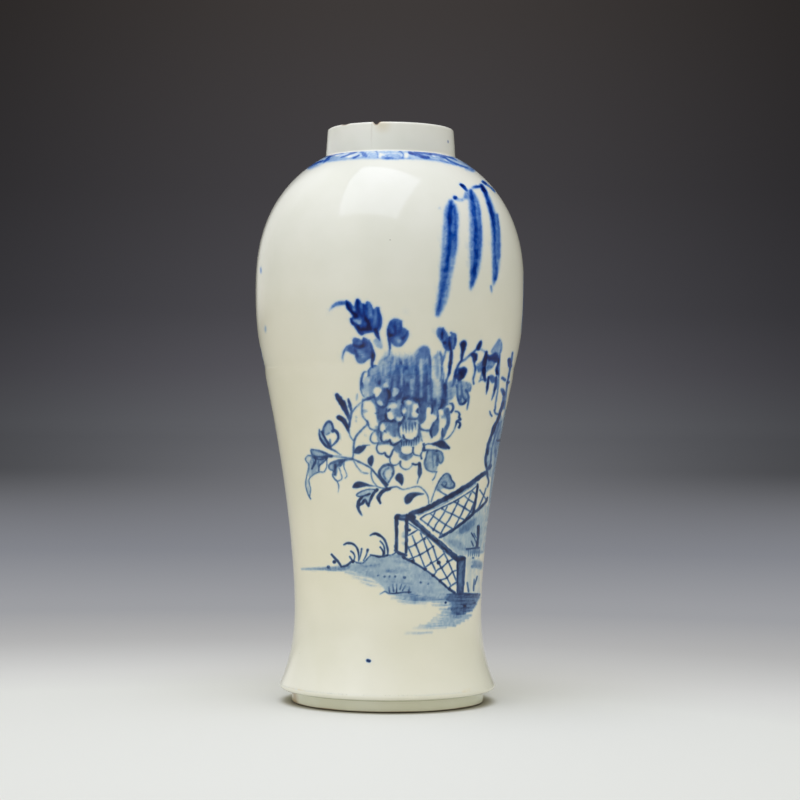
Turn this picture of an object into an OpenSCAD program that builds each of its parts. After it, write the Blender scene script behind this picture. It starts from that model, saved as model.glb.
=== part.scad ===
// Baluster vase of blue-and-white porcelain, 285 mm high.
// It is thrown in sections that are stuck together with slip before firing:
// a standing ring, a lower body with its floor, an upper body and a neck.
// Millimetres, +Z up. The origin is the centre of the standing face.
// The painted front faces -Y.

/* [Standing ring] */
// Height of the standing ring, from the table to the underside of the body
foot_ring_h = 6.5; // [5:0.5:10]
// How far the ring's outer wall is set in from the lip of the skirt
foot_set_in = 6.05; // [4.5:0.05:9]
// Width of the ring's wall
foot_ring_w = 5.2; // [3.5:0.1:8]
// Bevel trimmed off both edges of the standing face
foot_bevel = 0.8; // [0.3:0.1:1.5]

/* [Lower body] */
// Height of the flared skirt, from the underside of the body to the waist
skirt_h = 40.5; // [30:0.5:55]
// Radius of the skirt's lip
skirt_r = 53.75; // [50:0.25:60]
// Radius of the roll along the lower edge of the lip
lip_round = 1.75; // [1:0.25:2.5]
// Radius at the waist, the narrowest line of the body
waist_r = 46.6; // [42:0.1:49.5]
// Height of the flank, from the waist to the seam between the two bodies
flank_h = 118; // [90:1:150]
// Radius that the curve of the flank reaches at the seam
seam_r = 62.6; // [56:0.1:65]
// Thickness of the floor
floor_t = 6; // [4:0.5:9]
// Radius of the hollow corner between the floor and the wall
floor_round = 10; // [4:1:16]

/* [Upper body] */
// Height from the seam to the widest line
belly_h = 40; // [28:1:55]
// Radius at the widest line
belly_r = 67; // [63:0.5:74]
// Height of the shoulder, from the widest line to the foot of the neck
shoulder_h = 65.5; // [50:0.5:80]
// Thickness of the thrown wall of both bodies, measured level
wall = 4.5; // [3:0.1:6]

/* [Neck] */
// Height of the neck above the shoulder
neck_h = 14.5; // [10:0.5:30]
// Radius of the neck at its foot
neck_r = 32.4; // [30:0.1:38]
// How far the neck draws in from its foot to the rim
neck_draw = 0.8; // [0:0.1:2]
// Thickness of the neck's wall at the rim
neck_wall = 4.1; // [3:0.1:6]
// Radius of the rounding on both edges of the rim
rim_round = 1.2; // [0.5:0.1:2]

/* [Slip joints] */
// Thickness of the slip in each joint
slip_t = 0.6; // [0.3:0.1:1]
// How far the joint between the bodies slopes down from outside to inside
joint_drop = 3; // [1:0.5:5]
// Height of the wiped ridge of slip inside that joint
ridge_h = 7; // [4:0.5:12]
// How far the ridge stands proud of the inner wall
ridge_proud = 1.4; // [0.6:0.1:2.5]
// How far the edge of the lower body draws in at the seam
seam_dip = 0.45; // [0.1:0.05:1]
// Height over which the edge draws in
seam_soft_h = 4; // [2:0.5:8]
// Radius of the hollow fillets of slip at the standing ring and the neck
fillet = 1; // [0.6:0.1:2]

/* [Wear] */
// Depth of the notch in the rim
notch_depth = 1.3; // [0.4:0.1:3]
// Width of the notch at the rim
notch_w = 3.2; // [1:0.1:8]
// Turn of the notch about the vase, from the front towards the right
notch_turn = -15; // [-180:1:180]
// Depth of the shallow chip in the rim
chip_depth = 0.5; // [0.2:0.1:1]
// Width of the shallow chip
chip_w = 6; // [2:0.5:10]
// Turn of the chip about the vase, from the front towards the right
chip_turn = -46; // [-180:1:180]

/* [Hidden] */
$fn = 96;

glaze = [0.91, 0.91, 0.86];
foot_glaze = [0.72, 0.73, 0.64];
slip_clay = [0.83, 0.81, 0.75];

// Exponents of the profile: how tightly each stretch of it curves
skirt_power = 2.4;
flank_power = 1.6;
belly_power = 2.35;
crown_power = 2.4;
// Share of the skirt's flare that the inner wall follows
inner_flare_share = 0.45;
// Most that the rounding of the rim may take of the neck's wall
rim_round_share = 0.45;
// Turn at which the roll of the lip runs into the skirt
lip_turn = 24;
// Step in from the throat of the shoulder to the mouth
throat_step = 0.6;
// Segments of each stretch of the profile
arc_steps = 6;
skirt_steps = 12;
flank_steps = 14;
belly_steps = 10;
crown_steps = 20;
ridge_steps = 10;
// Overrun of the cuts past what they cut
over = 1;

// Heights along the axis
waist_z = foot_ring_h + skirt_h;
seam_z = waist_z + flank_h;
belly_z = seam_z + belly_h;
neck_z = belly_z + shoulder_h;
rim_z = neck_z + neck_h;

foot_ring_r = skirt_r - foot_set_in;
ring_in_r = foot_ring_r - foot_ring_w;
rim_r = neck_r - neck_draw;
mouth_r = rim_r - neck_wall;
rim_edge = min(rim_round, rim_round_share * neck_wall);
throat_r = mouth_r + throat_step;

// Where the roll of the lip ends and the skirt begins
skirt_z = foot_ring_h + lip_round * (1 + sin(lip_turn));
skirt_start_r = skirt_r - lip_round * (1 - cos(lip_turn));

// The joint between the bodies: outer edge, and inner edge joint_drop lower
edge_r = seam_r - seam_dip;
joint_in_z = seam_z - joint_drop;
joint_in_r = flank_out(joint_in_z) - wall;
upper_in_z = joint_in_z + slip_t;

// Reach of the slip fillets, which cover at least the joint itself
fillet_reach = max(fillet, slip_t);
// Height above the widest line at which the shoulder's curve would close
crown_h = shoulder_h / crown_rise((neck_r + fillet_reach) / belly_r);
// Height at which the inner curve of the shoulder meets the throat
throat_z = belly_z + (crown_h - wall) * crown_rise(throat_r / (belly_r - wall));

// Rise of the shoulder's unit curve at a share of its radius
function crown_rise(radius_share) = pow(1 - pow(radius_share, 2), 1 / crown_power);
// Radius of the shoulder's unit curve at a share of its rise
function crown_reach(rise_share) = sqrt(1 - pow(rise_share, crown_power));

function skirt_out(z) = waist_r
    + (skirt_start_r - waist_r) * pow(max(0, waist_z - z) / (waist_z - skirt_z), skirt_power);
function flank_out(z) = waist_r
    + (seam_r - waist_r) * pow(max(0, z - waist_z) / flank_h, flank_power);
function belly_out(z) = belly_r
    - (belly_r - edge_r) * pow(max(0, belly_z - z) / (belly_z - seam_z - slip_t), belly_power);
function shoulder_out(z) = belly_r * crown_reach((z - belly_z) / crown_h);

function skirt_in(z) = waist_r - wall + inner_flare_share * (skirt_out(z) - waist_r);
function flank_in(z) = flank_out(z) - wall;
function belly_in(z) = belly_r - wall
    - (belly_r - wall - joint_in_r) * pow(max(0, belly_z - z) / (belly_z - upper_in_z), belly_power);
function shoulder_in(z) = (belly_r - wall) * crown_reach((z - belly_z) / (crown_h - wall));

// Points of an arc about a centre, from one angle to another
function arc(centre, radius, from_turn, to_turn) =
    [for (i = [0 : arc_steps])
        let (turn = from_turn + (to_turn - from_turn) * i / arc_steps)
        centre + radius * [cos(turn), sin(turn)]];

// Height after step i of n, close together near the upper end
function up(low, high, i, n) = low + (high - low) * sin(90 * i / n);
// Height after step i of n, close together near the lower end
function ease(low, high, i, n) = low + (high - low) * (1 - cos(90 * i / n));

// Outer line of the lower body, from its underside up to the seam
lower_outer = concat(
    arc([skirt_r - lip_round, foot_ring_h + lip_round], lip_round, -90, lip_turn),
    [for (i = [1 : skirt_steps])
        let (z = ease(skirt_z, waist_z, i, skirt_steps)) [skirt_out(z), z]],
    [for (i = [1 : flank_steps])
        let (z = waist_z + (flank_h - seam_soft_h) * i / flank_steps) [flank_out(z), z]],
    [[edge_r, seam_z]]
);

// Inner line of the lower body, from the joint down to the floor
corner_z = foot_ring_h + floor_t + floor_round;
ridge_low_z = joint_in_z - ridge_h / 2;
lower_inner = concat(
    [[joint_in_r, joint_in_z], [flank_in(ridge_low_z), ridge_low_z]],
    [for (i = [1 : flank_steps])
        let (z = ridge_low_z + (waist_z - ridge_low_z) * i / flank_steps) [flank_in(z), z]],
    [for (i = [1 : skirt_steps])
        let (z = waist_z + (corner_z - waist_z) * i / skirt_steps) [skirt_in(z), z]],
    arc([skirt_in(corner_z) - floor_round, corner_z], floor_round, 0, -90)
);

// Outer line of the upper body, from the seam up to the foot of the neck
upper_outer = concat(
    [[edge_r, seam_z + slip_t]],
    [for (i = [1 : belly_steps])
        let (z = up(seam_z + slip_t, belly_z, i, belly_steps)) [belly_out(z), z]],
    [for (i = [1 : crown_steps])
        let (z = up(belly_z, neck_z, i, crown_steps)) [shoulder_out(z), z]]
);

// Inner line of the upper body, from the throat down to the joint
ridge_high_z = upper_in_z + ridge_h / 2;
upper_inner = concat(
    [for (i = [0 : crown_steps])
        let (z = up(belly_z, throat_z, crown_steps - i, crown_steps)) [shoulder_in(z), z]],
    [for (i = [1 : belly_steps])
        let (z = belly_z + (ridge_high_z - belly_z) * i / belly_steps) [belly_in(z), z]],
    [[joint_in_r, upper_in_z]]
);

// The ring that the vase stands on: a thrown coil, trimmed square
module foot_ring() {
    top_z = foot_ring_h - slip_t;
    color(foot_glaze)
        rotate_extrude()
            polygon([
                [ring_in_r, top_z],
                [ring_in_r, foot_bevel],
                [ring_in_r + foot_bevel, 0],
                [foot_ring_r - foot_bevel, 0],
                [foot_ring_r, foot_bevel],
                [foot_ring_r, top_z]
            ]);
}

// The slip between the ring and the body, with a hollow fillet on each side
module foot_slip() {
    low_z = foot_ring_h - slip_t;
    fillet_z = foot_ring_h - fillet_reach;
    color(slip_clay)
        rotate_extrude()
            polygon(concat(
                [[ring_in_r, low_z], [foot_ring_r, low_z]],
                arc([foot_ring_r + fillet_reach, fillet_z], fillet_reach, 180, 90),
                arc([ring_in_r - fillet_reach, fillet_z], fillet_reach, 90, 0)
            ));
}

// The lower body, a tall cup with a flared skirt and a flat underside
module lower_body() {
    color(glaze)
        rotate_extrude()
            polygon(concat(
                [[0, foot_ring_h]],
                lower_outer,
                lower_inner,
                [[0, foot_ring_h + floor_t]]
            ));
}

// The slip in the joint between the bodies, wiped to a ridge inside
module seam_slip() {
    low = [flank_in(ridge_low_z), ridge_low_z];
    high = [belly_in(ridge_high_z), ridge_high_z];
    color(slip_clay)
        rotate_extrude()
            polygon(concat(
                [[joint_in_r, joint_in_z], [edge_r, seam_z]],
                [[edge_r, seam_z + slip_t], [joint_in_r, upper_in_z]],
                [for (i = [0 : ridge_steps])
                    let (share = i / ridge_steps)
                    high + (low - high) * share - [ridge_proud * sin(180 * share), 0]]
            ));
}

// The upper body, from the joint over the shoulder to the foot of the neck
module upper_body() {
    color(glaze)
        rotate_extrude()
            polygon(concat(upper_outer, [[throat_r, neck_z]], upper_inner));
}

// The slip under the neck, with a hollow fillet outside
module neck_slip() {
    centre = [neck_r + fillet_reach, neck_z + fillet_reach];
    color(slip_clay)
        rotate_extrude()
            polygon(concat(
                [[throat_r, neck_z + slip_t], [throat_r, neck_z]],
                arc(centre, fillet_reach, 270, 180),
                [[neck_r, neck_z + slip_t]]
            ));
}

// The neck, a short collar with a rounded rim, notched and chipped by wear
module neck() {
    foot_z = neck_z + slip_t;
    straight_z = neck_z + fillet_reach;
    color(glaze)
        difference() {
            rotate_extrude()
                polygon(concat(
                    [[mouth_r, foot_z], [neck_r, foot_z], [neck_r, straight_z]],
                    arc([rim_r - rim_edge, rim_z - rim_edge], rim_edge, 0, 90),
                    arc([mouth_r + rim_edge, rim_z - rim_edge], rim_edge, 90, 180)
                ));
            rotate(notch_turn)
                notch_cut();
            rotate(chip_turn)
                chip_cut();
        }
}

// A three-sided bar across the front of the rim, with its edge downwards
module notch_cut() {
    top_w = notch_w * (notch_depth + over) / notch_depth;
    translate([0, -mouth_r + over, rim_z])
        rotate([90, 0, 0])
            linear_extrude(neck_r - mouth_r + 2 * over)
                polygon([[0, -notch_depth], [top_w / 2, over], [-top_w / 2, over]]);
}

// A round bar across the front of the rim, wide enough to cut a shallow chip
module chip_cut() {
    bar_r = (pow(chip_w / 2, 2) + pow(chip_depth, 2)) / (2 * chip_depth);
    translate([0, -mouth_r + over, rim_z - chip_depth + bar_r])
        rotate([90, 0, 0])
            cylinder(h = neck_r - mouth_r + 2 * over, r = bar_r);
}

foot_ring();
foot_slip();
lower_body();
seam_slip();
upper_body();
neck_slip();
neck();
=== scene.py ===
import math

import bpy
import numpy as np
from mathutils import Matrix


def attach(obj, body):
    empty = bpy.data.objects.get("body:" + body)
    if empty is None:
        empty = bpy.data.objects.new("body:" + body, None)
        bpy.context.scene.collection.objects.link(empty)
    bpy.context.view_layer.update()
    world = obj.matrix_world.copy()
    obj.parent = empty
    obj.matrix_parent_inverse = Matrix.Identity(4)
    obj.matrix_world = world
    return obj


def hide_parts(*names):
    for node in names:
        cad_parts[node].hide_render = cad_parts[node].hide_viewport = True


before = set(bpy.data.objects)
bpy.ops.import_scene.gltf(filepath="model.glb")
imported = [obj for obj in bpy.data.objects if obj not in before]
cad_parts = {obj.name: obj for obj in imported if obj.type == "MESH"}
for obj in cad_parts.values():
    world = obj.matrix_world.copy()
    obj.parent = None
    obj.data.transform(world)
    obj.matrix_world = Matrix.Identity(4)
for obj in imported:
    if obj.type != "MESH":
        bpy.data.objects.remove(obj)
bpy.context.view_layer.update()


# Foot ring: the low ring that the vase stands on, a thrown coil of porcelain trimmed square.
# Its glaze has run down and pooled to a greenish grey, and it was wiped off the standing face
# before the firing, so the bare body shows there with a rusty line where the glaze ends.
foot_ring_h = 6.5
foot_ring_r = 47.7
ring_in_r = 42.5
foot_bevel = 0.8
slip_t = 0.6


def throw(name, outline, around):
    """Turn a closed outline, radius and height in millimetres, about the vase's axis."""
    bpy.ops.object.select_all(action="DESELECT")
    bpy.ops.mesh.primitive_circle_add(vertices=len(outline), radius=0.01)
    piece = bpy.context.object
    piece.name = piece.data.name = name
    for corner, (r, z) in zip(piece.data.vertices, outline):
        corner.co = (0, -r / 1000, z / 1000)
    bpy.ops.object.mode_set(mode="EDIT")
    bpy.ops.mesh.select_all(action="SELECT")
    bpy.ops.mesh.spin(steps=around, angle=2 * math.pi, center=(0, 0, 0), axis=(0, 0, 1))
    bpy.ops.mesh.select_all(action="SELECT")
    bpy.ops.mesh.remove_doubles(threshold=2e-6)
    bpy.ops.mesh.delete_loose(use_verts=True, use_edges=True, use_faces=False)
    bpy.ops.mesh.select_all(action="SELECT")
    bpy.ops.mesh.normals_make_consistent(inside=False)
    bpy.ops.object.mode_set(mode="OBJECT")
    bpy.ops.object.shade_smooth_by_angle(angle=math.radians(40))
    return piece


def arc(r, z, radius, start, end, steps=8):
    """Outline points of an arc about a centre, from one angle to another in degrees."""
    turns = np.radians(np.linspace(start, end, steps + 1))
    return [(r + radius * math.cos(t), z + radius * math.sin(t)) for t in turns]


def climb(curve, low, high, gap):
    """Outline points of a curve between two heights, evenly spaced along it."""
    zs = np.linspace(low, high, 2001)
    rs = curve(zs)
    along = np.concatenate(([0], np.cumsum(np.hypot(np.diff(zs), np.diff(rs)))))
    stops = np.linspace(0, along[-1], max(2, int(round(along[-1] / gap)) + 1))
    zs = np.interp(stops, along, zs)
    return list(zip(curve(zs), zs))


ring_top = foot_ring_h - slip_t
foot_ring = throw("standing_ring", [
    (ring_in_r, ring_top), (ring_in_r, 4), (ring_in_r, 2),
    *arc(ring_in_r + foot_bevel, foot_bevel, foot_bevel, 180, 270, 5),
    (44.2, 0), (45.1, 0), (46, 0),
    *arc(foot_ring_r - foot_bevel, foot_bevel, foot_bevel, 270, 360, 5),
    (foot_ring_r, 2), (foot_ring_r, 3), (foot_ring_r, 4), (foot_ring_r, 5), (foot_ring_r, ring_top)], 240)


def socket(group, name, kind, way="INPUT", value=None):
    """Add a named socket to a node group."""
    made = group.interface.new_socket(name=name, in_out=way, socket_type="NodeSocket" + kind)
    if value is not None:
        made.default_value = value
    return made


def node(tree, kind, **values):
    """Add a node. Names that are the node's own are set on it, and the rest on its sockets."""
    made = tree.nodes.new("ShaderNode" + kind)
    for name, value in values.items():
        if hasattr(made, name):
            setattr(made, name, value)
        else:
            made.inputs[name.replace("_", " ")].default_value = value
    return made


def feed(tree, made, *values):
    """Link sockets to the inputs of a node in turn, or set numbers on them."""
    for into, value in zip(made.inputs, values):
        if hasattr(value, "links"):
            tree.links.new(value, into)
        else:
            into.default_value = value
    return made.outputs[0] if made.outputs else None


def here(tree):
    """Where a point lies on its piece, in metres."""
    return node(tree, "TexCoord").outputs["Object"]


def apart(tree, where):
    """The three parts of a place or a direction."""
    made = node(tree, "SeparateXYZ")
    feed(tree, made, where)
    return made.outputs


def vector(tree, kind, first, second=(0, 0, 0)):
    """A number worked out from one place or direction, or from two."""
    made = node(tree, "VectorMath", operation=kind)
    feed(tree, made, first, second)
    return made.outputs["Value"]


def mixed(tree, blend, share, under, over):
    """Mix two colours. The share may be a number or a socket."""
    made = node(tree, "Mix", data_type="RGBA", blend_type=blend, clamp_factor=True)
    feed(tree, made, share)
    for place, value in ((6, under), (7, over)):
        if hasattr(value, "links"):
            tree.links.new(value, made.inputs[place])
        else:
            made.inputs[place].default_value = value
    return made.outputs[2]


def sums(tree, kind, first, second=0.0, third=0.0):
    """One step of arithmetic, from numbers or sockets."""
    return feed(tree, node(tree, "Math", operation=kind), first, second, third)


def scaled(tree, value, low, high, to_low=0.0, to_high=1.0):
    """Turn a range of one value softly into a range of another."""
    soft = node(tree, "MapRange", interpolation_type="SMOOTHSTEP")
    return feed(tree, soft, value, low, high, to_low, to_high)


def noise(tree, where, scale, detail=2.0, roughness=0.5):
    """Soft random values over the piece, a share from 0 to 1."""
    return feed(tree, node(tree, "TexNoise", Scale=scale, Detail=detail, Roughness=roughness), where)


def srgb(red, green, blue):
    """A colour as it is read off a screen, made linear."""
    return tuple(c / 12.92 if c <= 0.04045 else ((c + 0.055) / 1.055) ** 2.4
                 for c in (red / 255, green / 255, blue / 255)) + (1.0,)


# The glaze: milky patches, a few burnt specks, and the soft unevenness of its surface
glaze = bpy.data.node_groups.new("glaze", "ShaderNodeTree")
socket(glaze, "Colour", "Color", value=srgb(226, 225, 213))
socket(glaze, "Patches", "Float", value=1.0)
socket(glaze, "Specks", "Float", value=1.0)
for name, kind in (("Colour", "Color"), ("Roughness", "Float"), ("Height", "Float")):
    socket(glaze, name, kind, "OUTPUT")
given = glaze.nodes.new("NodeGroupInput")
made = glaze.nodes.new("NodeGroupOutput")
spread_over = here(glaze)
cloudy = scaled(glaze, noise(glaze, spread_over, 26, 3, 0.55), 0.3, 0.7)
share = sums(glaze, "MULTIPLY", cloudy, sums(glaze, "MULTIPLY", given.outputs["Patches"], 0.9))
tone = mixed(glaze, "MULTIPLY", share, given.outputs["Colour"], (0.945, 0.95, 0.925, 1))
warm = scaled(glaze, noise(glaze, spread_over, 11), 0.45, 0.75)
share = sums(glaze, "MULTIPLY", warm, sums(glaze, "MULTIPLY", given.outputs["Patches"], 0.6))
tone = mixed(glaze, "MULTIPLY", share, tone, (1.0, 0.975, 0.925, 1))
cells = node(glaze, "TexVoronoi", feature="F1", Scale=210.0, Randomness=1.0)
feed(glaze, cells, spread_over)
chance = feed(glaze, node(glaze, "SeparateColor"), cells.outputs["Color"])
spot = sums(glaze, "MULTIPLY", scaled(glaze, cells.outputs["Distance"], 0.04, 0.085, 1, 0),
            scaled(glaze, chance, 0.965, 0.97))
spot = sums(glaze, "MULTIPLY", spot, given.outputs["Specks"])
tone = mixed(glaze, "MULTIPLY", spot, tone, (0.28, 0.25, 0.22, 1))
glaze.links.new(tone, made.inputs["Colour"])
smear = noise(glaze, spread_over, 38, 4, 0.6)
glaze.links.new(scaled(glaze, smear, 0.3, 0.75, 0.045, 0.1), made.inputs["Roughness"])
rings = noise(glaze, feed(glaze, node(glaze, "Mapping", Scale=(1.0, 1.0, 7.0)), spread_over), 22)
dents = sums(glaze, "MULTIPLY_ADD", noise(glaze, spread_over, 260), 0.05, sums(glaze, "MULTIPLY", spot, 0.1))
glaze.links.new(sums(glaze, "MULTIPLY_ADD", rings, 0.5, dents), made.inputs["Height"])


def glazed(name, colour, patches=1.0, specks=1.0):
    """A material with the glaze group in it, and its parts for the steps that follow."""
    material = bpy.data.materials.new(name)
    material.use_nodes = True
    tree = material.node_tree
    shader = tree.nodes["Principled BSDF"]
    shader.inputs["IOR"].default_value = 1.5
    coat = node(tree, "Group", node_tree=glaze)
    feed(tree, coat, colour, patches, specks)
    bump = node(tree, "Bump", Strength=0.12, Distance=0.0006)
    for source, into in ((coat.outputs["Height"], bump.inputs["Height"]),
                         (bump.outputs[0], shader.inputs["Normal"]),
                         (coat.outputs["Colour"], shader.inputs["Base Color"]),
                         (coat.outputs["Roughness"], shader.inputs["Roughness"])):
        tree.links.new(source, into)
    return material, tree, shader, coat


def bare_clay(tree, shader, colour, roughness, bare):
    """Where the glaze is missing: the matt body, with a rusty line along the edge of the glaze."""
    clay = mixed(tree, "MIX", noise(tree, here(tree), 600, 3, 0.6), srgb(222, 214, 196), srgb(196, 184, 160))
    rust = sums(tree, "MULTIPLY", sums(tree, "MULTIPLY", bare, sums(tree, "SUBTRACT", 1.0, bare)),
                scaled(tree, noise(tree, here(tree), 45), 0.35, 0.7, 0.6, 3.4))
    tone = mixed(tree, "MIX", bare, colour, clay)
    tone = mixed(tree, "MIX", rust, tone, srgb(150, 104, 52))
    tree.links.new(tone, shader.inputs["Base Color"])
    matt = 0.75
    rough = sums(tree, "MULTIPLY_ADD", bare, sums(tree, "SUBTRACT", matt, roughness), roughness)
    tree.links.new(rough, shader.inputs["Roughness"])


foot_glaze, tree, shader, coat = glazed("foot glaze", srgb(237, 238, 221), patches=1.6, specks=2.0)
height = apart(tree, here(tree))["Z"]
edge = sums(tree, "MULTIPLY_ADD", noise(tree, here(tree), 60, 3, 0.6), 0.0011, height)
rusty = vector(tree, "DISTANCE", here(tree), (-0.0462, -0.013, 0.001))
tone = mixed(tree, "MIX", scaled(tree, rusty, 0.002, 0.009, 0.7, 0), coat.outputs["Colour"],
             srgb(168, 128, 66))
bare_clay(tree, shader, tone, coat.outputs["Roughness"], scaled(tree, edge, 0.0009, 0.0015, 1, 0))
# painted shade: the lowest band of the ring is darkened towards dark olive, strongly on its outer edge where
# it meets the table and less on the standing face
painted_foot_shade = sums(tree, "MULTIPLY", scaled(tree, height, 0.0003, 0.0009, 0.92, 0),
             scaled(tree, vector(tree, "LENGTH", here(tree)), 0.0466, 0.0474, 0.25, 1))
tree.links.new(mixed(tree, "MIX", painted_foot_shade, shader.inputs["Base Color"].links[0].from_socket, srgb(52, 44, 28)),
               shader.inputs["Base Color"])
foot_ring.data.materials.append(foot_glaze)
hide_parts("foot_ring")
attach(foot_ring, "root")


# Foot slip: the liquid clay that sticks the ring to the underside of the body, wiped to a small
# hollow fillet on each side. The glaze lies over it, thick enough in the corner to look green.
foot_slip = throw("ring_joint", [
    (ring_in_r, ring_top), (44.5, ring_top), (46, ring_top), (foot_ring_r, ring_top),
    *arc(foot_ring_r + 1, foot_ring_h - 1, 1, 180, 90, 8),
    (46, foot_ring_h), (44.5, foot_ring_h),
    *arc(ring_in_r - 1, foot_ring_h - 1, 1, 90, 0, 8)], 240)
pooled_glaze = glazed("pooled glaze over slip", srgb(204, 204, 178), patches=1.8)[0]
foot_slip.data.materials.append(pooled_glaze)
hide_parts("foot_slip")
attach(foot_slip, "root")


# Lower body: the flank, the waist, the flared skirt with its rolled lip, and the floor, thrown as
# one tall cup of porcelain. The ring is stuck under it and the upper body on top of it.
skirt_h = 40.5
skirt_r = 53.75
lip_round = 1.75
lip_turn = 24
waist_r = 46.6
flank_h = 118
seam_r = 62.6
seam_dip = 0.45
seam_soft_h = 4
floor_t = 6
floor_round = 10
wall = 4.5
joint_drop = 3
ridge_h = 7
waist_z = foot_ring_h + skirt_h
seam_z = waist_z + flank_h
edge_r = seam_r - seam_dip
skirt_z = foot_ring_h + lip_round * (1 + math.sin(math.radians(lip_turn)))
skirt_start_r = skirt_r - lip_round * (1 - math.cos(math.radians(lip_turn)))


def skirt_out(z):
    return waist_r + (skirt_start_r - waist_r) * (
        np.clip((waist_z - z) / (waist_z - skirt_z), 0, 1)) ** 2.4


def flank_out(z):
    return waist_r + (seam_r - waist_r) * (np.clip(z - waist_z, 0, None) / flank_h) ** 1.6


def lower_out(z):
    """Outer radius of the lower body, drawn in a little at the seam."""
    soft_z = seam_z - seam_soft_h
    soft_r = flank_out(soft_z)
    dip = soft_r + (edge_r - soft_r) * np.clip((z - soft_z) / seam_soft_h, 0, 1)
    return np.where(z < waist_z, skirt_out(z), np.where(z < soft_z, flank_out(z), dip))


def lower_in(z):
    return np.where(z < waist_z, waist_r - wall + 0.45 * (skirt_out(z) - waist_r), flank_out(z) - wall)


joint_in_z = seam_z - joint_drop
joint_in_r = float(flank_out(joint_in_z)) - wall
ridge_low_z = joint_in_z - ridge_h / 2
corner_z = foot_ring_h + floor_t + floor_round
corner_r = float(lower_in(corner_z)) - floor_round
lower_body = throw("lower_vase", [
    (0, foot_ring_h), (6, foot_ring_h), (18, foot_ring_h), (30, foot_ring_h), (41.5, foot_ring_h),
    (45.1, foot_ring_h), (48.7, foot_ring_h), (50.5, foot_ring_h),
    *arc(skirt_r - lip_round, foot_ring_h + lip_round, lip_round, -90, lip_turn, 8)[:-1],
    *climb(lower_out, skirt_z, seam_z, 2.4),
    (joint_in_r, joint_in_z),
    *climb(lower_in, corner_z, ridge_low_z, 5)[::-1],
    *arc(corner_r, corner_z, floor_round, 0, -90, 6)[1:],
    *((r, foot_ring_h + floor_t) for r in (24, 12, 4, 0))], 160)
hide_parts("lower_body")
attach(lower_body, "root")


# Seam slip: the slip in the joint between the two bodies. Outside it was wiped flush, so that only
# the faint pinched line of the seam is left, and inside it stands as a low smooth ridge.
belly_h = 40
belly_r = 67
belly_z = seam_z + belly_h
upper_in_z = joint_in_z + slip_t
ridge_high_z = upper_in_z + ridge_h / 2


def belly_out(z):
    return belly_r - (belly_r - edge_r) * (
        np.clip((belly_z - z) / (belly_z - seam_z - slip_t), 0, 1)) ** 2.35


def belly_in(z):
    return belly_r - wall - (belly_r - wall - joint_in_r) * (
        np.clip((belly_z - z) / (belly_z - upper_in_z), 0, 1)) ** 2.35


ridge = []
for share in np.linspace(0, 1, 11):
    ridge.append((
        float(belly_in(ridge_high_z)) * (1 - share) + float(flank_out(ridge_low_z) - wall) * share
        - 1.4 * math.sin(math.pi * share),
        ridge_high_z * (1 - share) + ridge_low_z * share))
seam_slip = throw("body_joint", [
    (joint_in_r, joint_in_z), (edge_r, seam_z), (edge_r, seam_z + slip_t / 2), (edge_r, seam_z + slip_t),
    (joint_in_r, upper_in_z), *ridge], 640)
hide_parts("seam_slip")
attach(seam_slip, "root")


# Upper body: the belly and the high round shoulder, thrown as a second cup of porcelain, turned
# over and stuck rim to rim on the lower one. Its throat was cut open for the neck.
shoulder_h = 65.5
neck_r = 32.4
throat_r = 28.1
neck_z = belly_z + shoulder_h
crown_h = shoulder_h / (1 - ((neck_r + 1) / belly_r) ** 2) ** (1 / 2.4)


def shoulder_out(z):
    rise = np.clip(z - belly_z, 0, None) / crown_h
    return belly_r * np.sqrt(np.clip(1 - rise ** 2.4, 0, 1))


def shoulder_in(z):
    rise = np.clip(z - belly_z, 0, None) / (crown_h - wall)
    return (belly_r - wall) * np.sqrt(np.clip(1 - rise ** 2.4, 0, 1))


def upper_out(z):
    return np.where(z < belly_z, belly_out(z), shoulder_out(z))


def upper_in(z):
    return np.where(z < belly_z, belly_in(z), shoulder_in(z))


throat_z = belly_z + (crown_h - wall) * (1 - (throat_r / (belly_r - wall)) ** 2) ** (1 / 2.4)
upper_body = throw("upper_vase", [
    *climb(upper_out, seam_z + slip_t, neck_z, 2.3), (throat_r, neck_z),
    *climb(upper_in, ridge_high_z, throat_z, 5)[::-1], (joint_in_r, upper_in_z)], 168)
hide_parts("upper_body")
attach(upper_body, "root")


# Neck slip: the slip that sticks the neck on the shoulder, wiped to a hollow fillet outside. The
# painted border runs up to it.
neck_slip = throw("neck_joint", [
    (throat_r, neck_z + slip_t), (throat_r, neck_z), (30.5, neck_z),
    *arc(neck_r + 1, neck_z + 1, 1, 270, 180, 8), (neck_r, neck_z + slip_t), (30.5, neck_z + slip_t)], 240)
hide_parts("neck_slip")
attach(neck_slip, "root")


# Neck: a short collar of porcelain, thrown by itself and drawn in slightly to a rounded rim. The
# rim has a sharp notch and, further left, a shallow chip: fresh breaks that show the matt body.
rim_z = neck_z + 14.5
rim_r = neck_r - 0.8
mouth_r = 27.5
rim_round = 1.2
neck_line = [
    (mouth_r, neck_z + slip_t), (30, neck_z + slip_t), (neck_r, neck_z + slip_t), (neck_r, neck_z + 1)]
for share in np.linspace(0, 1, 9)[1:-1]:
    neck_line.append((neck_r - 0.8 * share, neck_z + 1 + (rim_z - rim_round - neck_z - 1) * share))
neck_line += arc(rim_r - rim_round, rim_z - rim_round, rim_round, 0, 90, 8)
neck_line += [(30.0, rim_z), (29.3, rim_z)]
neck_line += arc(mouth_r + rim_round, rim_z - rim_round, rim_round, 90, 180, 8)
neck_line += [(mouth_r, rim_z - 4), (mouth_r, rim_z - 8)]
neck = throw("collar", neck_line, 320)


def places(piece):
    """Vertices of a piece in millimetres."""
    points = np.empty(len(piece.data.vertices) * 3)
    piece.data.vertices.foreach_get("co", points)
    return points.reshape(-1, 3) * 1000


def put(piece, points):
    piece.data.vertices.foreach_set("co", (points / 1000).ravel())
    piece.data.update()


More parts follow.
